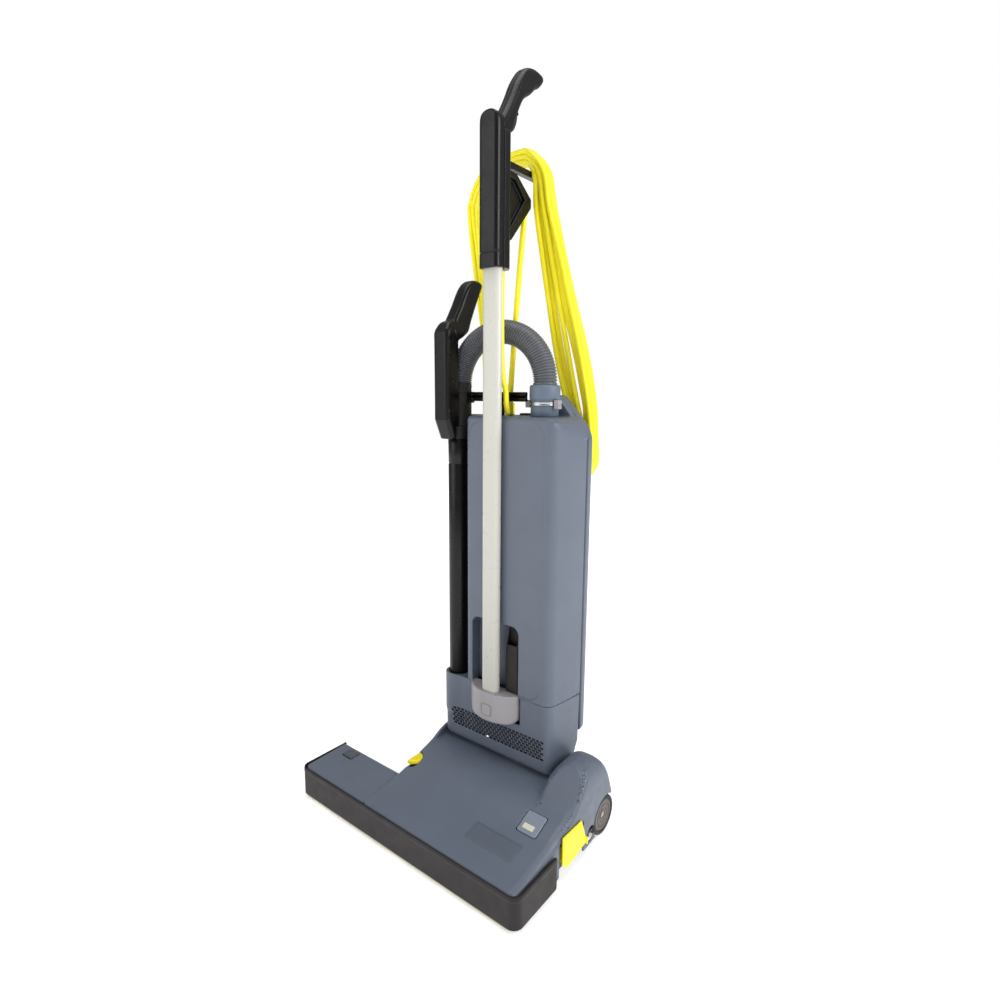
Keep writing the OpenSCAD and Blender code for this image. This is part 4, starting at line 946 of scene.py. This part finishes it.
# ---------------------------------------------------------------- wand, hose and its fittings
HOSE_Y0, HOSE_Z = WAND_Y + 7, CUFF_HI[2] + 4


def hose_bracket(x, y, z):
    d = soft_box(x, y, z, (WAND_X, -30, 703), (38, -24, 718), 1.4)
    d = np.minimum(d, soft_box(x, y, z, (-22, -57.6, 703), (7, -24, 718), 1.6))
    d = np.minimum(d, soft_box(x, y, z, (-24, -30, BODY_TOP + 0.2), (-10, -20, 718), 1.4))
    away = np.hypot(x - WAND_X, y - COUPLING_Y)
    cup = round_and(round_and(away - 25, 20.4 - away, 1), between(z, 700, 718), 1)
    cup = np.maximum(cup, COUPLING_Y - 4 - y)
    d = round_or(d, cup, 2)
    rib = np.abs(z - 710.5) - 1.2
    d = np.maximum(d, -np.maximum(np.maximum(rib, y + 24.8 - 0 * x), -1))
    d = np.maximum(d, 20.4 - away)
    return np.maximum(d, CUFF_R + 2.2 - np.hypot(x - CUFF_X, y - CUFF_Y))


CUFF_R = (CUFF_HI[0] - CUFF_LO[0]) / 2
moulded("hose_steady_bar", hose_bracket, *corners("hose_bracket"), 1.1, "body", "black_plastic", ["hose_bracket"])

CUFF_CENTRE = np.array([CUFF_X, CUFF_Y, 0])
CUFF = [(16, CUFF_LO[2]), (CUFF_R - 0.8, CUFF_LO[2]), (CUFF_R - 0.2, CUFF_LO[2] + 1), (CUFF_R - 0.6, 696),
        (CUFF_R - 0.6, 704), (CUFF_R - 0.4, 705.5), (CUFF_R + 1.2, 707), (CUFF_R + 1.6, 709), (CUFF_R + 1.6, 725),
        (CUFF_R + 0.8, 728), (CUFF_R - 1.4, CUFF_HI[2]), (18.2, CUFF_HI[2]), (17, CUFF_HI[2] - 2),
        (16, CUFF_HI[2] - 6)]
new_piece("hose_cuff_collar", *turned(CUFF, CUFF_CENTRE, 2, 72), "body", "cuff_plastic", ["hose_cuff"])
BAND = [(CUFF_R - 0.5, 697.2), (CUFF_R + 1.1, 697.2), (CUFF_R + 1.5, 697.9), (CUFF_R + 1.0, 699),
        (CUFF_R + 1.0, 701.2), (CUFF_R + 1.5, 702.3), (CUFF_R + 1.1, 703), (CUFF_R - 0.5, 703)]
new_piece("hose_clamp_band", *turned(BAND, CUFF_CENTRE, 2, 72), "body", "bare_steel", ["hose_clamp"])


def clamp_screw(x, y, z):
    block = soft_box(x, y, z, (CUFF_X + CUFF_R + 0.3, CUFF_Y - 10, 692), (CUFF_X + CUFF_R + 9, CUFF_Y + 1, 706), 1.6)
    slot = np.maximum(np.abs(z - 699) - 0.8, CUFF_X + CUFF_R + 8 - x)
    nut = soft_box(x, y, z, (CUFF_X - CUFF_R - 9, CUFF_Y - 9, 694), (CUFF_X - CUFF_R - 0.3, CUFF_Y - 2, 706), 1.5)
    return np.minimum(cut(block, slot, 0.3), nut)


moulded("hose_clamp_screw", clamp_screw, *corners("hose_clamp"), 0.8, "body", "socket_plastic", ["hose_clamp"])


def hose_mesh():
    """Corrugated hose bent over in a half circle from the wand to the cuff."""
    start, end = np.array([WAND_X, HOSE_Y0, HOSE_Z]), np.array([CUFF_X, CUFF_Y, HOSE_Z])
    middle_point, reach = (start + end) / 2, (end - start) / 2
    bend = np.linalg.norm(reach)
    rise = np.array([0, 0, (corners("hose")[1][2] - HOSE_Z - 19)])
    n = 62 * 6
    t = np.linspace(0, math.pi, n + 1)
    path = middle_point - np.outer(np.cos(t), reach) + np.outer(np.sin(t), rise)
    tail = np.linspace(6, 0, 5)[:-1, None] * np.array([0, 0, -1.0])
    path = np.vstack([start + tail, path, end + tail[::-1]])
    m = len(path)

    def section(u):
        ridge = 0.5 + 0.5 * math.cos(2 * math.pi * u * (m - 1) / 6)
        return circle(16.0 + 3.0 * ridge ** 0.4, 40)
    return sweep(path, section, capped=False)


hose = new_piece("corrugated_hose", *hose_mesh(), None, "hose_plastic", ["hose"])
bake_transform(hose)

WAND_LO, WAND_HI = corners("wand_tube")
WAND = [(WAND_R - 1.5, WAND_LO[2]), (WAND_R - 0.5, WAND_LO[2]), (WAND_R, WAND_LO[2] + 1), (WAND_R, 420),
        (WAND_R, 596), (WAND_R - 0.5, 597), (WAND_R - 0.5, 598.4), (WAND_R, 599.4), (WAND_R, WAND_HI[2] - 0.5),
        (WAND_R - 0.5, WAND_HI[2]), (WAND_R - 1.5, WAND_HI[2])]
new_piece("wand_tube_round", *turned(WAND, np.array([WAND_X, WAND_Y, 0]), 2, 64), "wand", "black_plastic",
          ["wand_tube"])


def coupling(x, y, z):
    shift = COUPLING_Y - WAND_Y
    lower, upper = np.hypot(x - WAND_X, y - WAND_Y), np.hypot(x - WAND_X, y - COUPLING_Y)
    cone = np.maximum(lower - WAND_R - (z - 640.1) * 0.1, between(z, 640.1, 662))
    ribs = 0.5 * (np.cos(2 * math.pi * (z - 705) / 6) > 0.6) * (z > 700)
    sleeve = round_and(upper - 19.9 + ribs * (shift > 0), between(z, 659, 732.6), 1)
    bore = np.maximum(np.hypot(x - WAND_X, y - COUPLING_Y + 2) - 14, -200 + 0 * z)
    return cut(np.minimum(cone, sleeve), bore, 0.6)


moulded("wand_hose_coupling", coupling, *corners("wand_coupling"), 1.3, "wand", "bumper_rubber",
        ["wand_coupling"])

HANDLE_OUT = ([(-49, 662), (-49, 799)]
              + flat_curve([(-47, 801), (-34, 808), (-20, 820), (-3, 855), (11, 883), (15.6, 893), (12, 900),
                            (-3, 902), (-16, 897), (-28, 884), (-43, 857), (-57, 834)], 40)
              + flat_curve([(-60, 832), (-70, 828), (-78, 818)], 8)
              + [(-80, 812), (-80, 672), (-66, 640), (-55.8, 640), (-55.8, 662)])
HANDLE_IN = [(-74, 680), (-74, 812), (-65, 823), (-55, 827), (-24, 880), (-14, 892), (-4, 897), (9, 896), (10, 893),
             (6, 883), (-8, 856), (-23, 823), (-37, 812.5), (-54, 803), (-58, 680)]
WAND_GRIP_LO, WAND_GRIP_HI = corners("wand_handle")


def wand_handle(x, y, z):
    slim = 17 - 4 * ease(z, 806, 836)
    d = round_and(outline(y, z, HANDLE_OUT), np.abs(x - WAND_X) - slim, 8)
    inner = round_and(outline(y, z, HANDLE_IN), np.abs(x - WAND_X) - slim + 4, 2)
    d = cut(d, inner, 0.5)
    sink = prism(outline(y, z, [(-75, 690), (-75, 800), (-62, 816), (-54, 798), (-56, 690)]), x, WAND_X - 40,
                 WAND_X + 40, 1)
    d = d + 0.8 * np.exp(-(np.maximum(sink, 0) / 2) ** 2) * (np.abs(x - WAND_X) > 12)
    away = np.maximum(np.hypot(x - WAND_X, y - COUPLING_Y) - 20.15, z - 734)
    foot = np.hypot(x - WAND_X, y - WAND_Y) - WAND_R - 0.15 - np.clip((z - 641) * 0.11, 0, 2.6)
    return cut(cut(d, away, 0.6), np.maximum(foot, z - 664), 0.4)


moulded("wand_grip_handle", wand_handle, WAND_GRIP_LO, WAND_GRIP_HI, 1.5, "wand", "black_plastic",
        ["wand_handle"])

TOOL_LO, TOOL_HI = corners("crevice_tool")


def crevice_tool(x, y, z):
    side = outline(y, z, [(-54, 224), (-38, 224), (-38, 330), (-44, 334), (-54, 300)])
    d = prism(side, x, TOOL_LO[0], TOOL_HI[0], 2.5)
    mouth = prism(outline(y, z, [(-52, 260), (-41, 260), (-41, 340), (-52, 320)]), x, TOOL_LO[0] + 2.4,
                  TOOL_HI[0] - 2.4, 1.5)
    return cut(d, mouth, 0.5)


moulded("crevice_tool_stored", crevice_tool, TOOL_LO, TOOL_HI, 0.9, "body", "bumper_rubber", ["crevice_tool"])


# ---------------------------------------------------------------- cords and plug
CORD_R = 4.3
TILT = math.radians(6.6)


def loop_points(o, fan):
    """One cord loop in its own plane, grown by o; fan spreads the slack right side."""
    top = arc(-46, 1010, 72 + o, 172, 108, 6) + [(-14, 1083 + o), (4, 1077 + o), (20 + o, 1050 + 0.6 * o)]
    right = [(26 + o + 0.3 * fan, 1000), (45 + o + 0.7 * fan, 887), (66 + o + fan, 780),
             (80 + o + 0.8 * fan, 700)]
    foot = [(89 + o + 0.2 * fan, 640)] + arc(60, 608, 32 + o, -8, -82, 4) + [(26, 575 - o), (-34, 571 - o)]
    left = arc(-78, 610, 40 + o, -98, -172, 4) + [(-115 - 0.8 * o, 700), (-113 - 0.6 * o + 0.15 * fan, 800),
                                                  (-114 - 0.7 * o, 920)]
    return top + right + foot + left


def cord_loop(index, o, depth, fan):
    rng = np.random.default_rng(20 + index)
    flat = loop_points(o, fan)
    path = smooth_path([(a, 0, b) for a, b in flat], 260, True)
    n = len(path)
    s = np.linspace(0, 2 * math.pi, n, endpoint=False)
    free = ease(path[:, 2], 600, 680) * (1 - ease(path[:, 2], 985, 1060))
    sway = sum(rng.normal(0, 0.9) * np.sin(k * s + rng.uniform(0, 6)) for k in (2, 3, 5))
    path[:, 0] += sway * free
    path[:, 1] += depth + free * sum(rng.normal(0, 1.0) * np.sin(k * s + rng.uniform(0, 6)) for k in (2, 4))
    y, z = path[:, 1].copy(), path[:, 2] - 1100
    path[:, 1] = 26 + y * math.cos(TILT) - z * math.sin(TILT)
    path[:, 2] = 1100 + y * math.sin(TILT) + z * math.cos(TILT)
    new_piece("cord_loop_%02d" % index, *sweep(path, lambda u: circle(CORD_R, 12), True), "body", "cord_yellow",
              ["cord_bundle"])


for index in range(10):
    column, row = index % 3, index // 3
    cord_loop(index, (column - 1) * 7.9, (row - 1) * 7.9 if row < 3 else 0,
              [-20, -5, 9, -13, 2, 13, -24, -1, 11, 16][index])


def lead(name, points):
    path = smooth_path(points, 140)
    new_piece(name, *sweep(path, lambda u: circle(4.5, 14)), "body", "cord_yellow", ["cord_leads"])


lead("cord_lead_rear", [(0, 12, 1018), (0, 12, 988), (0, 3, 920), (-10, 5.7, 831), (-13.4, 5.7, 786.6),
                        (-1, -17.5, 720), (-1, -17.5, BODY_TOP + 0.4)])
lead("cord_lead_front", [(6, -51.5, 898.6), (6, -52, 860), (6.5, -52, 789), (9, -51, 740), (12.2, -48, 722),
                         (12.2, -46, 700), (9, -38, BODY_TOP + 5.4)])
PLUG_X, PLUG_Y = (PLUG_LO[0] + PLUG_HI[0]) / 2, (PLUG_LO[1] + PLUG_HI[1]) / 2


def plug(x, y, z):
    away = np.hypot(x - PLUG_X, y - PLUG_Y)
    body = round_and(away - 17 + 1.2 * ease(z, 636, 652), between(z, 620, 652), 2.5)
    grip = 0.5 * (np.cos(2 * math.pi * (z - 646) / 3) > 0.3) * (np.abs(z - 647) < 4)
    relief = np.maximum(away - 6.5 + (z - 650) * 0.07, between(z, 640, 690))
    rings = np.where((z > 654) & (z < 686), 0.8 * (np.cos(2 * math.pi * z / 4) > 0.2), 0)
    return round_or(body + grip, relief + rings, 1.5)


moulded("mains_plug_body", plug, PLUG_LO + [0, 0, 18], PLUG_HI - [0, 0, 8], 0.9, "bag_door", "black_plastic",
        ["mains_plug"])
for k, dx in enumerate((-9.5, 9.5)):
    pin = [(0.2, PLUG_LO[2]), (1.7, PLUG_LO[2]), (2.4, PLUG_LO[2] + 0.9), (2.4, 620.5), (0.2, 620.5)]
    new_piece("plug_pin_%d" % k, *turned(pin, np.array([PLUG_X + dx, PLUG_Y, 0]), 2, 24), "bag_door",
              "bare_steel", ["mains_plug"])
new_piece("plug_cord_tail", *sweep(smooth_path([(PLUG_X, PLUG_Y, 680), (PLUG_X, PLUG_Y, 690),
                                                (PLUG_X, PLUG_Y, PLUG_HI[2])], 12), lambda u: circle(4.4, 14)),
          "bag_door", "cord_yellow", ["mains_plug"])


# ---------------------------------------------------------------- filter bag
BAG_LO, BAG_HI = corners("filter_bag")


def bag(x, y, z):
    folds = 0.9 * np.sin(z / 9 + 1.4 * np.sin(x / 31)) + 0.7 * np.sin(z / 17 + y / 14 + x / 23)
    pleat = 1.6 * np.maximum(0, 1 - np.abs((y - 5) / 4)) * (np.abs(x - 27) > 60)
    d = soft_box(x, y, z, BAG_LO + [2, 2, 1], BAG_HI - [2, 2, 0.5], 14) + folds * ease(z, 250, 290) * 0.8 + pleat
    return cut(np.maximum(d, z - BAG_HI[2] + 0.5), np.hypot(x - CUFF_X, y - CUFF_Y) - 12 + 50 * (z < 620), 1)


moulded("pleated_filter_bag", bag, BAG_LO, BAG_HI, 2.4, "body", "bag_paper", ["filter_bag"])


# ---------------------------------------------------------------- studio and camera
def area_light(name, place, aim, size, power, colour=(1, 1, 1)):
    light = bpy.data.lights.new(name, "AREA")
    light.shape = "RECTANGLE"
    light.size, light.size_y = size
    light.energy = power
    light.color = colour
    obj = bpy.data.objects.new(name, light)
    bpy.context.scene.collection.objects.link(obj)
    obj.location = place
    obj.rotation_euler = (Vector(aim) - Vector(place)).to_track_quat("-Z", "Y").to_euler()
    return obj


def studio():
    """A pale floor, a pale surround and three soft lamps."""
    ground = finish("studio_floor", (240, 240, 241), 0.6, 60, 0.02, 0.01)
    shader = ground.node_tree.nodes["Principled BSDF"]
    shader.inputs["Emission Color"].default_value = (1, 1, 1, 1)
    nodes, links = ground.node_tree.nodes, ground.node_tree.links
    place, reach = nodes.new("ShaderNodeTexCoord"), nodes.new("ShaderNodeVectorMath")
    reach.operation = "LENGTH"
    glow = nodes.new("ShaderNodeMapRange")
    for key, value in (("From Min", 0.5), ("From Max", 2.2), ("To Min", 0.5), ("To Max", 1.2)):
        glow.inputs[key].default_value = value
    links.new(place.outputs["Object"], reach.inputs[0])
    links.new(reach.outputs["Value"], glow.inputs["Value"])
    links.new(glow.outputs["Result"], shader.inputs["Emission Strength"])
    mesh = bpy.data.meshes.new("studio_floor")
    mesh.from_pydata([(-6, -6, -0.0006), (6, -6, -0.0006), (6, 6, -0.0006), (-6, 6, -0.0006)], [], [(0, 1, 2, 3)])
    plane = bpy.data.objects.new("studio_floor", mesh)
    bpy.context.scene.collection.objects.link(plane)
    mesh.materials.append(ground)
    world = bpy.data.worlds.new("studio")
    bpy.context.scene.world = world
    world.use_nodes = True
    nodes, links = world.node_tree.nodes, world.node_tree.links
    sky = nodes["Background"]
    sky.inputs["Color"].default_value = (1, 1, 1, 1)
    seen = nodes.new("ShaderNodeLightPath")
    power = nodes.new("ShaderNodeMapRange")
    power.inputs["To Min"].default_value = 0.42
    power.inputs["To Max"].default_value = 1.0
    links.new(seen.outputs["Is Camera Ray"], power.inputs["Value"])
    links.new(power.outputs["Result"], sky.inputs["Strength"])
    area_light("key", (2.3, 0.3, 1.7), (0.05, 0.05, 0.5), (1.4, 1.4), 40)
    area_light("front_fill", (-1.1, -2.3, 1.5), (0, 0, 0.5), (1.8, 1.8), 20)
    area_light("top", (0.2, -0.2, 2.9), (0, 0, 0.4), (1.6, 1.6), 24)


studio()
bpy.context.scene.view_settings.view_transform = "Standard"
lens = bpy.data.cameras.new("camera")
lens.lens = 21.96
lens.sensor_width = 36
camera = bpy.data.objects.new("camera", lens)
bpy.context.scene.collection.objects.link(camera)
RIGHT, UP, FORWARD = (0.7869, 0.6171, 0.0071), (-0.1092, 0.1280, 0.9857), (-0.6073, 0.7764, -0.1681)
frame_axes = Matrix((RIGHT, UP, [-f for f in FORWARD])).transposed()
camera.matrix_world = Matrix.Translation(Vector((0.603, -0.8156, 0.7117)) + Vector((DATUM * MM).tolist())) \
    @ frame_axes.to_4x4()
bpy.context.scene.camera = camera
